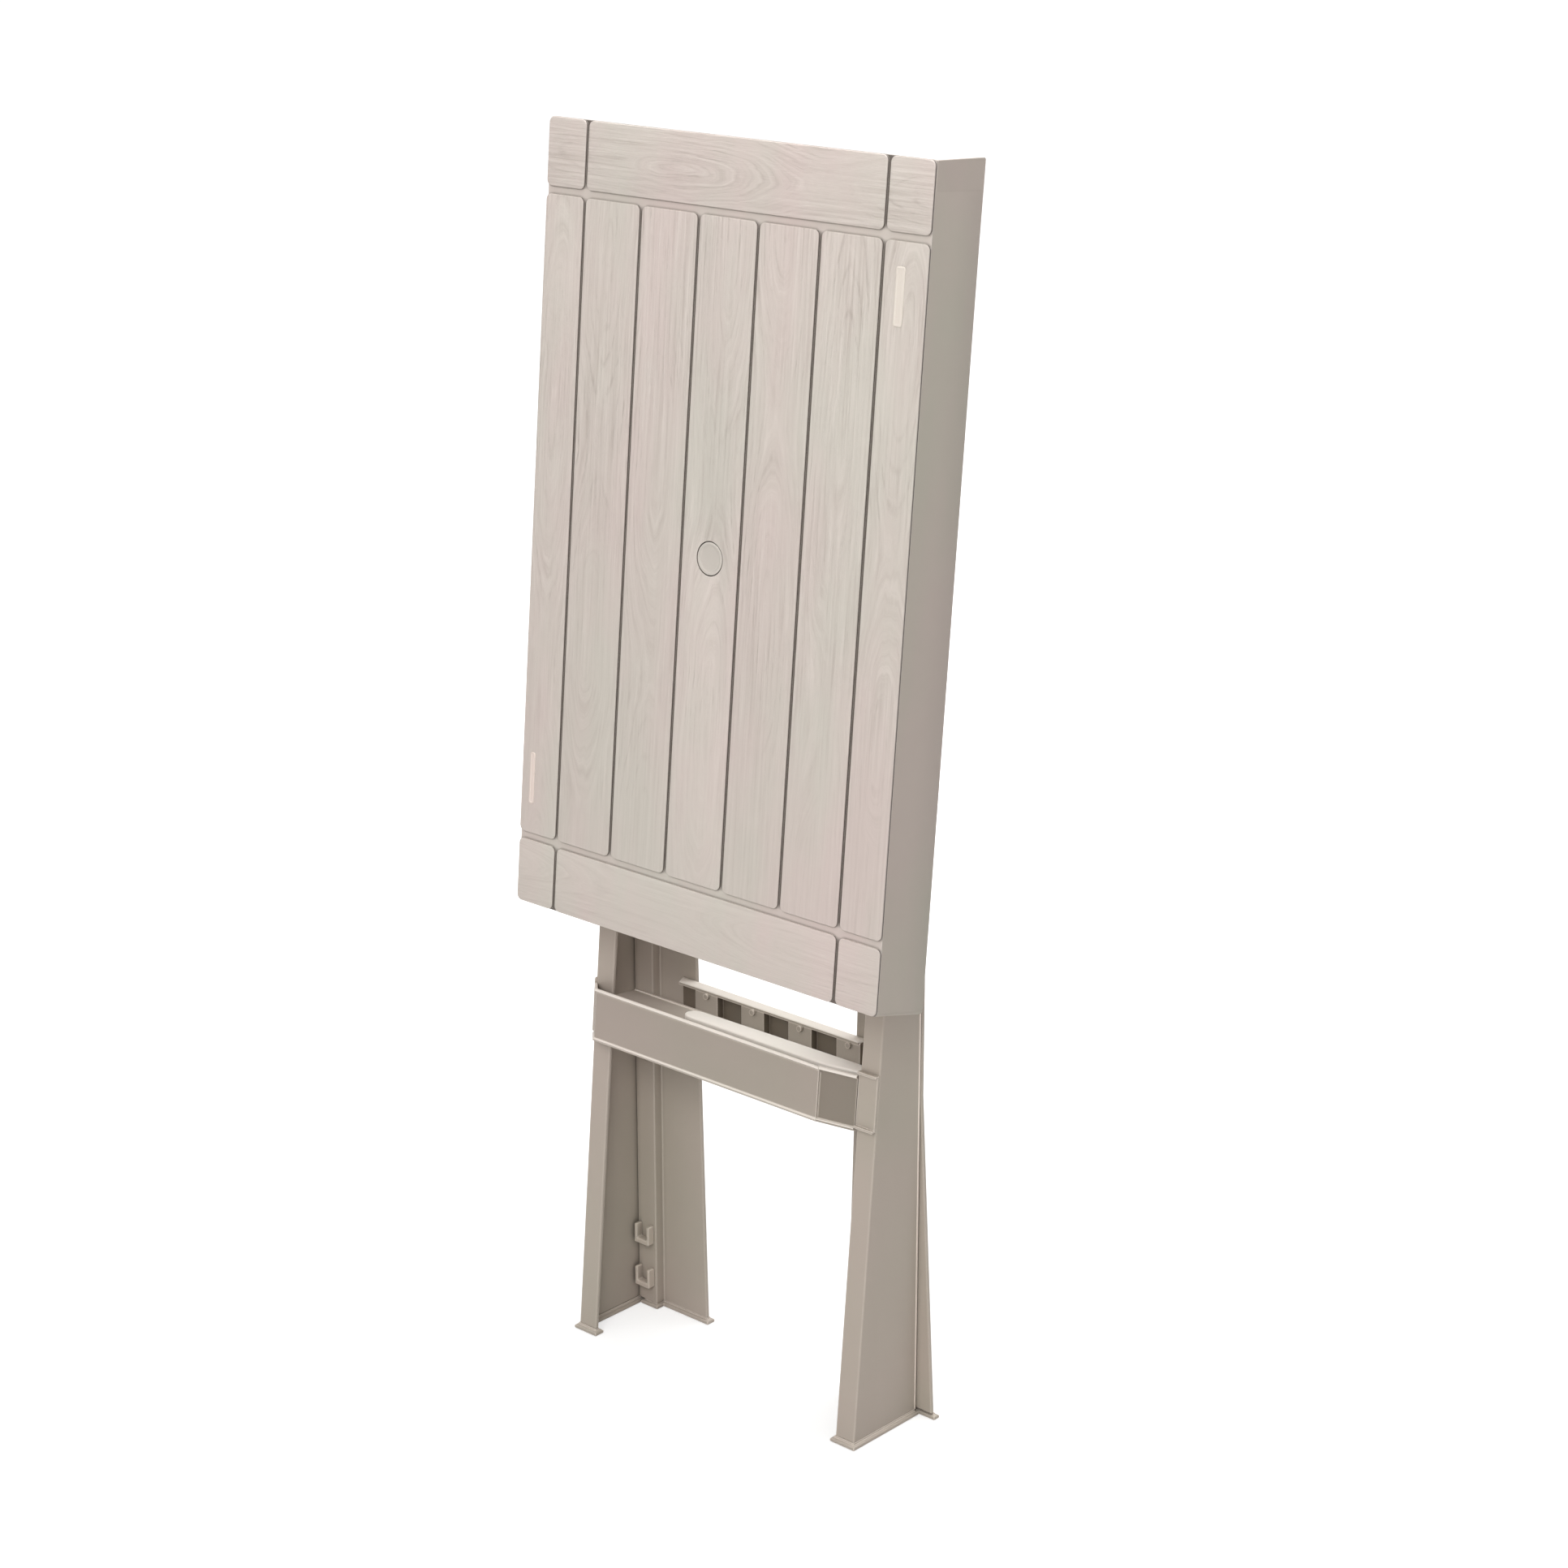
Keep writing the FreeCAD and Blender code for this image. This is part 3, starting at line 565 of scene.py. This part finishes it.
def finish_mesh(mesh, name, body, materials, place, sharp=35.0, choose=None):
    """Turns a bmesh in a place's axes into a piece on a body; choose gives a face's material number."""
    bmesh.ops.recalc_face_normals(mesh, faces=mesh.faces)
    for face in mesh.faces:
        face.smooth = True
        if choose is not None:
            face.material_index = choose(face.calc_center_median() / MM, face.normal)
    limit = math.radians(sharp)
    for edge in mesh.edges:
        if len(edge.link_faces) == 2 and edge.calc_face_angle(0.0) > limit:
            edge.smooth = False
    mesh.transform(place)
    data = bpy.data.meshes.new(name)
    mesh.to_mesh(data)
    mesh.free()
    piece = bpy.data.objects.new(name, data)
    bpy.context.scene.collection.objects.link(piece)
    for material in materials:
        data.materials.append(material)
    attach(piece, body)
    return piece


def box_into(mesh, low, high, edge):
    """A box between two corners, its edges cut back by a small chamfer."""
    made = bmesh.ops.create_cube(mesh, size=1.0)
    size = [(b - a) * MM for a, b in zip(low, high)]
    middle = [(a + b) / 2 * MM for a, b in zip(low, high)]
    bmesh.ops.scale(mesh, vec=size, verts=made["verts"])
    bmesh.ops.translate(mesh, vec=middle, verts=made["verts"])
    edges = list({e for v in made["verts"] for e in v.link_edges})
    bmesh.ops.bevel(mesh, geom=edges, offset=edge * MM, segments=2, profile=0.5, affect="EDGES")


# ---------------------------------------------------------------- tray
def plank_spans():
    """Each block of the face: its two corners across and along."""
    half = TRAY_WIDTH / 2
    gap = GROOVE_WIDTH / 2
    low_end = RAIL_WIDTH - RAIL_GROOVE / 2
    low_start = RAIL_WIDTH + RAIL_GROOVE / 2
    lengths = (
        (0.0, low_end),
        (low_start, TRAY_LENGTH - low_start),
        (TRAY_LENGTH - low_end, TRAY_LENGTH),
    )
    lines = [step * PLANK_PITCH for step in (-2.5, -1.5, -0.5, 0.5, 1.5, 2.5)]
    outer = ((-half, lines[0] - gap), (lines[5] + gap, half))
    spans = [((a, c), (b, d)) for a, b in outer for c, d in lengths]
    for c, d in (lengths[0], lengths[2]):
        spans.append(((lines[0] + gap, c), (lines[5] - gap, d)))
    for first, second in zip(lines, lines[1:]):
        spans.append(((first + gap, lengths[1][0]), (second - gap, lengths[1][1])))
    return spans


def inset(low, high, amount):
    return (low[0] + amount, low[1] + amount), (high[0] - amount, high[1] - amount)


def add_block(mesh, low, high, hole=None):
    """One raised block of the face, round at its corners and along its edge."""
    loops = []
    for step in range(5):
        turn = math.radians(22.5 * step)
        back = PLANK_EDGE * (1 - math.sin(turn))
        depth = PLANK_EDGE * (1 - math.cos(turn))
        spot = inset(low, high, back)
        loops.append(add_loop(mesh, rounded(*spot, PLANK_CORNER - back), depth))
    loops.append(add_loop(mesh, rounded(low, high, PLANK_CORNER), GROOVE_DEPTH))
    for first, second in zip(loops, loops[1:]):
        bridge(mesh, first, second)
    if hole is None:
        mesh.faces.new(loops[0])
    else:
        fill_between(mesh, loops[0], hole)


def skirt_line(depth, back=0.0, end_back=0.0):
    """The tray's outline at a depth, moved in by an amount, and its upper end by one more."""
    share = depth / SKIRT_DEPTH
    half = TRAY_WIDTH / 2 - SKIRT_GAP - back
    low = (-half, back - FLARE_LOW * share)
    high = (half, TRAY_LENGTH + FLARE_TOP * share - back - end_back)
    return rounded(low, high, max(SKIRT_CORNER - back, 0.8))


def side_end(name, side, top):
    """The end of one side skirt, carried past the inset end wall up to the face's own end."""
    mesh = bmesh.new()
    middle = side * (TRAY_WIDTH - SKIRT_WALL) / 2
    bend, start = TRAY_LENGTH - 16.0, TRAY_LENGTH - 90.0
    rows = (
        (FACE_SKIN - 1.5, TRAY_LENGTH - 0.4, 1.0),
        (SKIRT_DEPTH - 1.2, top - 0.3, 1.0),
        (SKIRT_DEPTH - 0.2, top - 1.6, 1.0),
        (SKIRT_DEPTH - 0.1, top - 3.0, 1.0),
        (SKIRT_DEPTH - 0.1, bend, 1.0),
        (SKIRT_DEPTH - 0.4, start, 0.8),
        (FACE_SKIN - 1.2, start, 0.8),
        (FACE_SKIN - 1.5, bend, 1.0),
    )
    sides = []
    for half in (-SKIRT_WALL / 2, SKIRT_WALL / 2):
        loop = []
        for depth, up, share in rows:
            loop.append(mesh.verts.new(((middle + half * share) * MM, depth * MM, up * MM)))
        sides.append(loop)
    bridge(mesh, *sides)
    for loop in sides:
        mesh.faces.new((loop[0], loop[1], loop[2], loop[3], loop[4], loop[7]))
        mesh.faces.new((loop[4], loop[5], loop[6], loop[7]))
    finish_mesh(mesh, name, "tabletop", [PLANKS], TRAY)


def tray_shell():
    """The face's planks over a floor plate, the skirts round it, and the ribs and boss beneath."""
    mesh = bmesh.new()
    centre = (0.0, TRAY_LENGTH / 2)
    seat_rim = add_loop(mesh, circle(*centre, SEAT_RADIUS + 0.7), 0.0)
    for low, high in plank_spans():
        middle = low[0] < 0.0 < high[0] and low[1] < centre[1] < high[1]
        add_block(mesh, low, high, seat_rim if middle else None)
    seat = [seat_rim]
    for radius, depth in (
        (SEAT_RADIUS + 0.2, 0.15),
        (SEAT_RADIUS, 0.6),
        (SEAT_RADIUS, SEAT_DEPTH),
        (HOLE_RADIUS, SEAT_DEPTH),
        (HOLE_RADIUS, BOSS_END),
        (BOSS_RADIUS - 0.8, BOSS_END),
        (BOSS_RADIUS, BOSS_END - 0.8),
        (BOSS_RADIUS, FACE_SKIN),
    ):
        seat.append(add_loop(mesh, circle(*centre, radius), depth))
    for first, second in zip(seat, seat[1:]):
        bridge(mesh, first, second)

    floor_hole = add_loop(mesh, circle(*centre, SEAT_RADIUS + 0.05), GROOVE_DEPTH)
    outside = [add_loop(mesh, skirt_line(GROOVE_DEPTH), GROOVE_DEPTH)]
    fill_between(mesh, outside[0], floor_hole)
    rows = (
        (FACE_SKIN, 0.0, 0.0),
        (FACE_SKIN, 0.0, END_INSET),
        (SKIRT_DEPTH * 0.5, 0.0, END_INSET),
        (SKIRT_DEPTH - 0.9, 0.0, END_INSET),
        (SKIRT_DEPTH - 0.25, 0.25, END_INSET),
        (SKIRT_DEPTH, 0.9, END_INSET),
        (SKIRT_DEPTH, SKIRT_WALL - 0.9, END_INSET),
        (SKIRT_DEPTH - 0.9, SKIRT_WALL, END_INSET),
        (FACE_SKIN, SKIRT_WALL, END_INSET),
    )
    for depth, back, end_back in rows:
        outside.append(add_loop(mesh, skirt_line(depth, back, end_back), depth))
    for first, second in zip(outside, outside[1:]):
        bridge(mesh, first, second)
    fill_between(mesh, outside[-1], seat[-1])

    rib_start, rib_end = FACE_SKIN - 0.5, FACE_SKIN + RIB_DEPTH
    reach = TRAY_WIDTH / 2 - 3.0
    for at in RIBS_ALONG:
        low = (at - RIB_HALF, rib_start, 3.0)
        box_into(mesh, low, (at + RIB_HALF, rib_end, TRAY_LENGTH - 13.0), RIB_CUT)
    for at in RIBS_ACROSS:
        low = (-reach, rib_start, at - RIB_HALF)
        box_into(mesh, low, (reach, rib_end, at + RIB_HALF), RIB_CUT)
    return finish_mesh(mesh, "tray_planks", "tabletop", [PLANKS], TRAY)


def hole_cap():
    """Cap with a round lip, a dish inside it and a hollow skirt."""
    mesh = bmesh.new()
    centre = (0.0, TRAY_LENGTH / 2)
    rows = (
        (10.8, 0.75),
        (11.6, 0.70),
        (12.0, 0.35),
        (12.6, 0.12),
        (13.9, 0.12),
        (14.6, 0.3),
        (CAP_RADIUS, 0.8),
        (CAP_RADIUS, SEAT_DEPTH - 0.2),
        (12.8, SEAT_DEPTH - 0.2),
        (12.8, 13.4),
        (12.2, 14.0),
        (10.8, 14.0),
        (10.8, SEAT_DEPTH),
    )
    loops = [add_loop(mesh, circle(*centre, radius), depth) for radius, depth in rows]
    for first, second in zip(loops, loops[1:]):
        bridge(mesh, first, second)
    mesh.faces.new(loops[0])
    mesh.faces.new(loops[-1])
    return finish_mesh(mesh, "hole_cap_dish", "cap", [CAP], TRAY, 50.0)


def plate(name, spot, half, material):
    """Blank upright plate with round corners, a raised border and a softened edge."""
    mesh = bmesh.new()
    across, up = spot
    low, high = (across - half, up - PLATE_HALF), (across + half, up + PLATE_HALF)
    rows = ((2.0, 0.3), (1.7, 0.0), (0.7, 0.0), (0.25, 0.2), (0.0, 0.6))
    loops = []
    for back, down in rows:
        line = rounded(*inset(low, high, back), max(PLATE_CORNER - back, 0.4))
        loops.append(add_loop(mesh, line, down - PLATE_PROUD))
    loops.append(add_loop(mesh, rounded(low, high, PLATE_CORNER), 0.1))
    for first, second in zip(loops, loops[1:]):
        bridge(mesh, first, second)
    mesh.faces.new(loops[0])
    return finish_mesh(mesh, name, "tabletop", [material], TRAY)


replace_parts(tray_shell(), "tabletop_shell")
side_end("skirt_end_right", 1, TRAY_LENGTH + FLARE_TOP)
side_end("skirt_end_left", -1, TRAY_LENGTH - LEFT_SHORT)
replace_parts(hole_cap(), "pole_hole_cap")
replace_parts(plate("badge_blank", BADGE_SPOT, 4.9, BADGE), "badge_plate")
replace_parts(plate("emblem_blank", EMBLEM_SPOT, 3.2, EMBLEM), "blank_emblem")


# ---------------------------------------------------------------- crossbar
def offset(points, amount, closed=True):
    """The line moved to its left-hand side by an amount, with mitred corners."""
    count = len(points)
    moved = []
    for i in range(count):
        turns = []
        for first, second in ((i - 1, i), (i, i + 1)):
            if not closed and (first < 0 or second >= count):
                continue
            way = Vector(points[second % count]) - Vector(points[first % count])
            way.normalize()
            turns.append(Vector((-way.y, way.x)))
        normal = sum(turns, Vector((0.0, 0.0))).normalized()
        reach = amount / max(normal.dot(turns[0]), 0.3)
        moved.append((points[i][0] + normal.x * reach, points[i][1] + normal.y * reach))
    return moved


def sweep(mesh, path, section):
    """Carries a closed section, each point a distance ahead and a height, along a path in plan."""
    rows = []
    for ahead, up in section:
        line = offset(path, -ahead, closed=False)
        rows.append([mesh.verts.new((x * MM, y * MM, up * MM)) for x, y in line])
    count = len(rows)
    for i in range(count):
        first, second = rows[i], rows[(i + 1) % count]
        for j in range(len(path) - 1):
            mesh.faces.new((first[j], first[j + 1], second[j + 1], second[j]))
    for end in (0, -1):
        mesh.faces.new([row[end] for row in rows])


def slab(mesh, outline, low, high, edge):
    """A flat plate on an outline in plan, its upper edge rounded over."""
    rows = [(0.0, low), (0.0, high - edge)]
    for step in (30, 60, 90):
        turn = math.radians(step)
        rows.append((edge * (1 - math.cos(turn)), high - edge * (1 - math.sin(turn))))
    loops = []
    for back, up in rows:
        line = offset(outline, back)
        loops.append([mesh.verts.new((x * MM, y * MM, up * MM)) for x, y in line])
    for first, second in zip(loops, loops[1:]):
        bridge(mesh, first, second)
    mesh.faces.new(loops[0])
    mesh.faces.new(loops[-1])


def wall_section(lip, slot):
    """The crossbar's wall: a lip along each edge, a rolled rim and a narrow slot behind it."""
    low, high = BAR_LOW, BAR_HIGH
    return (
        (-3.2, low + 4.0),
        (-3.2, low + 0.6),
        (-2.6, low),
        (lip - 0.6, low),
        (lip, low + 0.5),
        (lip, low + 1.9),
        (lip - 0.6, low + 2.6),
        (0.0, low + 3.2),
        (0.0, high - 3.4),
        (lip - 0.6, high - 2.8),
        (lip - 0.1, high - 2.2),
        (lip - 0.1, high - 0.8),
        (lip - 0.8, high),
        (-1.0, high),
        (-1.6, high - 0.6),
        (-1.8, high - slot),
        (-4.2, high - slot),
        (-4.2, high - slot - 2.0),
        (-3.2, high - slot - 2.4),
    )


def front_crossbar():
    """Wall with rolled rims across the flanges, a recessed slanted end, a deep ledge and ribs."""
    mesh = bmesh.new()
    straight = ((-180.0, -0.4), (-167.0, -BAR_PROUD), (SLANT_START, -BAR_PROUD))
    slant = ((SLANT_START - 3.0, -11.2), (156.8, -2.6))
    sweep(mesh, straight, wall_section(1.3, 6.0))
    sweep(mesh, slant, wall_section(3.0, 5.0))
    ledge = ((-155.0, -9.5), (116.0, -9.5), (153.0, -1.0), (155.0, 29.0), (-155.0, 29.0))
    slab(mesh, ledge, BAR_HIGH - 9.0, LEDGE_TOP, 0.9)
    box_into(mesh, (-154.0, 26.6, BAR_HIGH - 24.0), (154.0, 29.6, LEDGE_TOP + 1.2), 0.6)
    for at in BAR_RIBS:
        box_into(mesh, (at - 1.3, -11.0, BAR_LOW + 1.0), (at + 1.3, -3.5, BAR_HIGH - 4.0), 0.3)

    def tone(spot, normal):
        """Painted highlight on the rims and painted shade on the slanted end."""
        outside = spot.y < -0.5 and normal.z > -0.5
        # Painted highlight on the top rim and on the lower lip's upper slope.
        if outside and spot.z > BAR_HIGH - 2.7:
            return 1
        if outside and normal.z > 0.3 and spot.z < BAR_LOW + 3.5:
            return 1
        # Painted shade on the slanted end.
        slanted = spot.x > SLANT_START + 0.2 and normal.y < -0.3
        return 2 if slanted else 0

    finishes = [BAR, RIM_HIGHLIGHT, SLANT_SHADE]
    return finish_mesh(
        mesh, "crossbar_rolled", "front_frame", finishes, FRONT, 28.0, tone
    )


def grip_strip():
    """Raised strip on the ledge: a round left end, and a right end bent to follow the bar."""
    mesh = bmesh.new()
    line = [(STRIP_LEFT, -4.2), (112.0, -4.2), (121.0, -3.4), (132.0, -0.6), (153.6, 5.0)]
    line += [(153.6, 21.5), (110.0, 20.5), (20.0, 19.0), (STRIP_LEFT, 16.4)]
    for step in range(1, 9):
        turn = math.radians(90.0 + 20.0 * step)
        line.append((STRIP_LEFT + 12.0 * math.cos(turn), 6.1 + 10.3 * math.sin(turn)))
    slab(mesh, line, BAR_HIGH - 6.5, BAR_HIGH + 0.9, 1.8)
    return finish_mesh(mesh, "grip_strip_round", "front_frame", [PALE], FRONT, 40.0)


def rear_crossbar():
    """Upper and lower lips joined by a back wall, with pads between deep cells."""
    mesh = bmesh.new()
    low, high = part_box("rear_crossbar")
    line = UPRIGHT.translation.y
    front, back = (low.y - line) / MM, (high.y - line) / MM
    half, bottom, top = high.x / MM, low.z / MM, high.z / MM
    plan = ((-half + 6.0, front), (half - 6.0, front), (half, back), (-half, back))
    slab(mesh, plan, top - 3.2, top, 1.0)
    slab(mesh, plan, bottom, bottom + 3.0, 1.0)
    box_into(mesh, (-half + 3.0, back - 3.0, bottom + 1.0), (half - 3.0, back, top - 2.0), 0.3)
    for step in (-1.5, -0.5, 0.5, 1.5):
        middle = step * CELL_PITCH + CELL_SHIFT
        near, far = middle - PAD_HALF, middle + PAD_HALF
        box_into(mesh, (near, front + 0.5, bottom + 1.0), (far, back - 0.5, top - 1.5), 0.8)

    def tone(spot, normal):
        """Painted highlight on the upper lip, plain pads and painted shade in the cells."""
        # Painted highlight on the upper lip.
        if spot.z > top - 1.6 and normal.z > -0.5:
            return 1
        # Painted shade on the cell walls behind the front.
        return 2 if spot.y > front + 1.4 and abs(normal.x) + abs(normal.y) > 0.6 else 0

    finishes = [LEGS, RIM_HIGHLIGHT, CELL_SHADE]
    return finish_mesh(
        mesh, "rear_bar_cells", "rear_frame", finishes, UPRIGHT, 35.0, tone
    )


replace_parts(front_crossbar(), "front_crossbar")
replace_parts(rear_crossbar(), "rear_crossbar")
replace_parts(grip_strip(), "grip_strip")


# ---------------------------------------------------------------- shoes
def shoe(name, node, body, outline):
    """A moulded lip round the bottom of a leg, sweeping out to the floor."""
    mesh = bmesh.new()
    rows = (
        (0.7, 0.0),
        (0.1, 0.6),
        (0.0, 2.4),
        (0.4, 3.3),
        (1.2, 3.8),
        (2.3, 3.9),
        (2.9, 4.3),
        (3.1, 6.0),
    )
    loops = []
    for back, up in rows:
        line = offset(outline, back)
        loops.append([mesh.verts.new((x * MM, y * MM, up * MM)) for x, y in line])
    for first, second in zip(loops, loops[1:]):
        bridge(mesh, first, second)
    mesh.faces.new(loops[0])
    mesh.faces.new(loops[-1])
    piece = finish_mesh(mesh, name, body, [LEGS], UPRIGHT, 35.0)
    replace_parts(piece, node)


def web_bead(word, side):
    """The rounded bead down the rear outer edge of a front leg's web, in pale plastic as a painted
    highlight along that edge.
    """
    mesh = bmesh.new()
    low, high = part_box("front_leg_" + word)
    outer = (high.x if side > 0 else -low.x) / MM
    back = (high.y - UPRIGHT.translation.y) / MM
    near, far = sorted((side * (outer - BEAD_INNER), side * (outer + BEAD_PROUD)))
    top = high.z / MM - 40.0
    box_into(mesh, (near, back - BEAD_DEPTH, 5.0), (far, back - 0.05, top), 0.8)
    name = "web_bead_" + word
    finish_mesh(mesh, name, "front_frame", [EDGES], UPRIGHT, 50.0)


def shoe_outlines(side):
    """Counter-clockwise outlines of the front and rear shoes on one side, from the legs' boxes."""
    line = UPRIGHT.translation.y
    word = "right" if side > 0 else "left"
    front_low, front_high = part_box("front_foot_" + word)
    rear_low, rear_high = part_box("rear_foot_" + word)
    x0, x1 = front_low.x / MM, front_high.x / MM
    y0, y1 = (front_low.y - line) / MM, (front_high.y - line) / MM
    arm = LEG_WALL + 2 * FOOT_LIP
    if side > 0:
        front = ((x0, y0), (x1, y0), (x1, y1), (x1 - arm, y1), (x1 - arm, y0 + arm), (x0, y0 + arm))
    else:
        front = ((x0, y0), (x1, y0), (x1, y0 + arm), (x0 + arm, y0 + arm), (x0 + arm, y1), (x0, y1))
    low_y, high_y = (rear_low.y - line) / MM, (rear_high.y - line) / MM
    a0, a1 = rear_low.x / MM, rear_high.x / MM
    step = (
        (CHANNEL_INNER, BOARD_FACE),
        (CHANNEL_INNER, CHANNEL_FACE),
        (CHANNEL_OUTER, CHANNEL_FACE),
        (CHANNEL_OUTER, low_y),
    )
    if side > 0:
        rear = ((a0, BOARD_FACE), *step, (a1, low_y), (a1, high_y), (a0, high_y))
    else:
        mirrored = [(-x, y) for x, y in reversed(step)]
        rear = ((a0, low_y), *mirrored, (a1, BOARD_FACE), (a1, high_y), (a0, high_y))
    return front, rear


for word, side in (("left", -1), ("right", 1)):
    front_line, rear_line = shoe_outlines(side)
    shoe("front_shoe_" + word, "front_foot_" + word, "front_frame", front_line)
    shoe("rear_shoe_" + word, "rear_foot_" + word, "rear_frame", rear_line)
    web_bead(word, side)


# ---------------------------------------------------------------- parts kept from the CAD
PLAIN_EDGE = 0.0006
EDGE_WIDTHS = {"leg": 0.0012, "crossbar": 0.0010, "foot": 0.0014, "clip": 0.0009}


def dress(name, item, slot):
    """Material and softened edges for a part that keeps its own shape."""
    item.data.materials.clear()
    item.data.materials.append(CLIPS if "clip" in name else FINISHES[slot])
    weld = item.modifiers.new("weld", "WELD")
    weld.merge_threshold = 0.00002
    width = next((size for word, size in EDGE_WIDTHS.items() if word in name), PLAIN_EDGE)
    bevel = item.modifiers.new("edges", "BEVEL")
    bevel.width = width
    bevel.segments = 3
    bevel.limit_method = "ANGLE"
    bevel.angle_limit = math.radians(40.0)
    bevel.use_clamp_overlap = True
    bevel.harden_normals = False
    weighted = item.modifiers.new("normals", "WEIGHTED_NORMAL")
    weighted.keep_sharp = False
    weighted.weight = 80


slots = {part["node"]: part["material_slot"] for part in frame["record"]["subparts"]}
for name, item in frame["nodes"].items():
    if not item.hide_render:
        dress(name, item, slots[name])


# ---------------------------------------------------------------- studio
WHITE = (1.0, 1.0, 1.0, 1.0)
SUN_TINT = (1.0, 0.985, 0.965)


def white_glow(name, strength):
    made = Nodes(name)
    glow = made.new("ShaderNodeEmission")
    glow.inputs["Color"].default_value = WHITE
    glow.inputs["Strength"].default_value = strength
    made.link(glow.outputs[0], made.output.inputs["Surface"])
    return made.material


def disc(name, radius, level, material):
    mesh = bmesh.new()
    bmesh.ops.create_circle(mesh, cap_ends=True, segments=96, radius=radius)
    bmesh.ops.translate(mesh, verts=mesh.verts, vec=(0.0, 0.0, level))
    data = bpy.data.meshes.new(name)
    mesh.to_mesh(data)
    mesh.free()
    data.materials.append(material)
    piece = bpy.data.objects.new(name, data)
    bpy.context.scene.collection.objects.link(piece)
    return piece


def studio():
    """White floor and dome that the camera sees, over a plain disc that returns light upwards."""
    floor = Nodes("floor_white")
    floor.shader.inputs["Base Color"].default_value = (0.5, 0.5, 0.5, 1.0)
    away = floor.new("ShaderNodeVectorMath", operation="LENGTH")
    floor.link(floor.place, away.inputs[0])
    glow = floor.range(away.outputs["Value"], 0.3, 1.9, 0.62, 1.0, smooth=True)
    floor.link(glow, floor.shader.inputs["Emission Strength"])
    floor.shader.inputs["Roughness"].default_value = 0.9
    floor.shader.inputs["Specular IOR Level"].default_value = 0.1
    floor.shader.inputs["Emission Color"].default_value = WHITE
    ground = disc("floor", 9.0, -0.0002, floor.material)
    bounce = Nodes("bounce_pale")
    bounce.shader.inputs["Base Color"].default_value = (0.62, 0.61, 0.6, 1.0)
    bounce.shader.inputs["Roughness"].default_value = 1.0
    under = disc("floor_bounce", 3.0, -0.002, bounce.material)
    under.visible_camera = False
    bpy.ops.mesh.primitive_uv_sphere_add(segments=48, ring_count=24, radius=9.0)
    dome = bpy.context.object
    dome.name = "dome"
    dome.data.materials.append(white_glow("dome_white", 1.05))
    for item in (ground, dome):
        item.visible_diffuse = False
        item.visible_glossy = False
        item.visible_shadow = False
        item.visible_transmission = False
    world = bpy.data.worlds.new("studio")
    world.use_nodes = True
    back = world.node_tree.nodes["Background"]
    back.inputs["Color"].default_value = (1.0, 0.985, 0.97, 1.0)
    back.inputs["Strength"].default_value = 0.38
    bpy.context.scene.world = world


def area_light(name, spot, target, size, power, tone=(1.0, 1.0, 1.0)):
    data = bpy.data.lights.new(name, "AREA")
    data.shape = "RECTANGLE"
    data.size, data.size_y = size
    data.energy = power
    data.color = tone
    item = bpy.data.objects.new(name, data)
    bpy.context.scene.collection.objects.link(item)
    item.location = spot
    way = Vector(target) - Vector(spot)
    item.rotation_euler = way.to_track_quat("-Z", "Y").to_euler()


studio()
area_light("key", (-1.7, -3.2, 2.6), (0.0, 0.0, 0.75), (2.2, 2.2), 8.0, SUN_TINT)
area_light("top", (0.2, -0.4, 3.4), (0.0, 0.0, 0.6), (2.4, 2.4), 28.0)
area_light("front", (1.15, -2.55, 2.3), (0.0, 0.0, 0.6), (1.6, 1.8), 51.0, SUN_TINT)
area_light("sky", (0.1, 0.9, 3.8), (0.0, 0.0, 0.5), (2.6, 2.2), 84.0)
area_light("rear", (-0.8, 3.2, 2.0), (0.0, 0.0, 0.7), (2.0, 2.0), 10.0)

scene = bpy.context.scene
scene.view_settings.view_transform = "Standard"
scene.view_settings.look = "None"

CAMERA_SPOT = (1.9525, -2.1037, 1.5403)
CAMERA_TURN = math.radians(42.02)
CAMERA_RISE = math.radians(18.169)
CAMERA_LENS = 76.01
lens = bpy.data.cameras.new("camera")
lens.sensor_width = 36.0
lens.lens = CAMERA_LENS
lens.clip_end = 60.0
camera = bpy.data.objects.new("camera", lens)
scene.collection.objects.link(camera)
camera.location = CAMERA_SPOT
camera.rotation_euler = (math.pi / 2 - CAMERA_RISE, 0.0, CAMERA_TURN)
scene.camera = camera
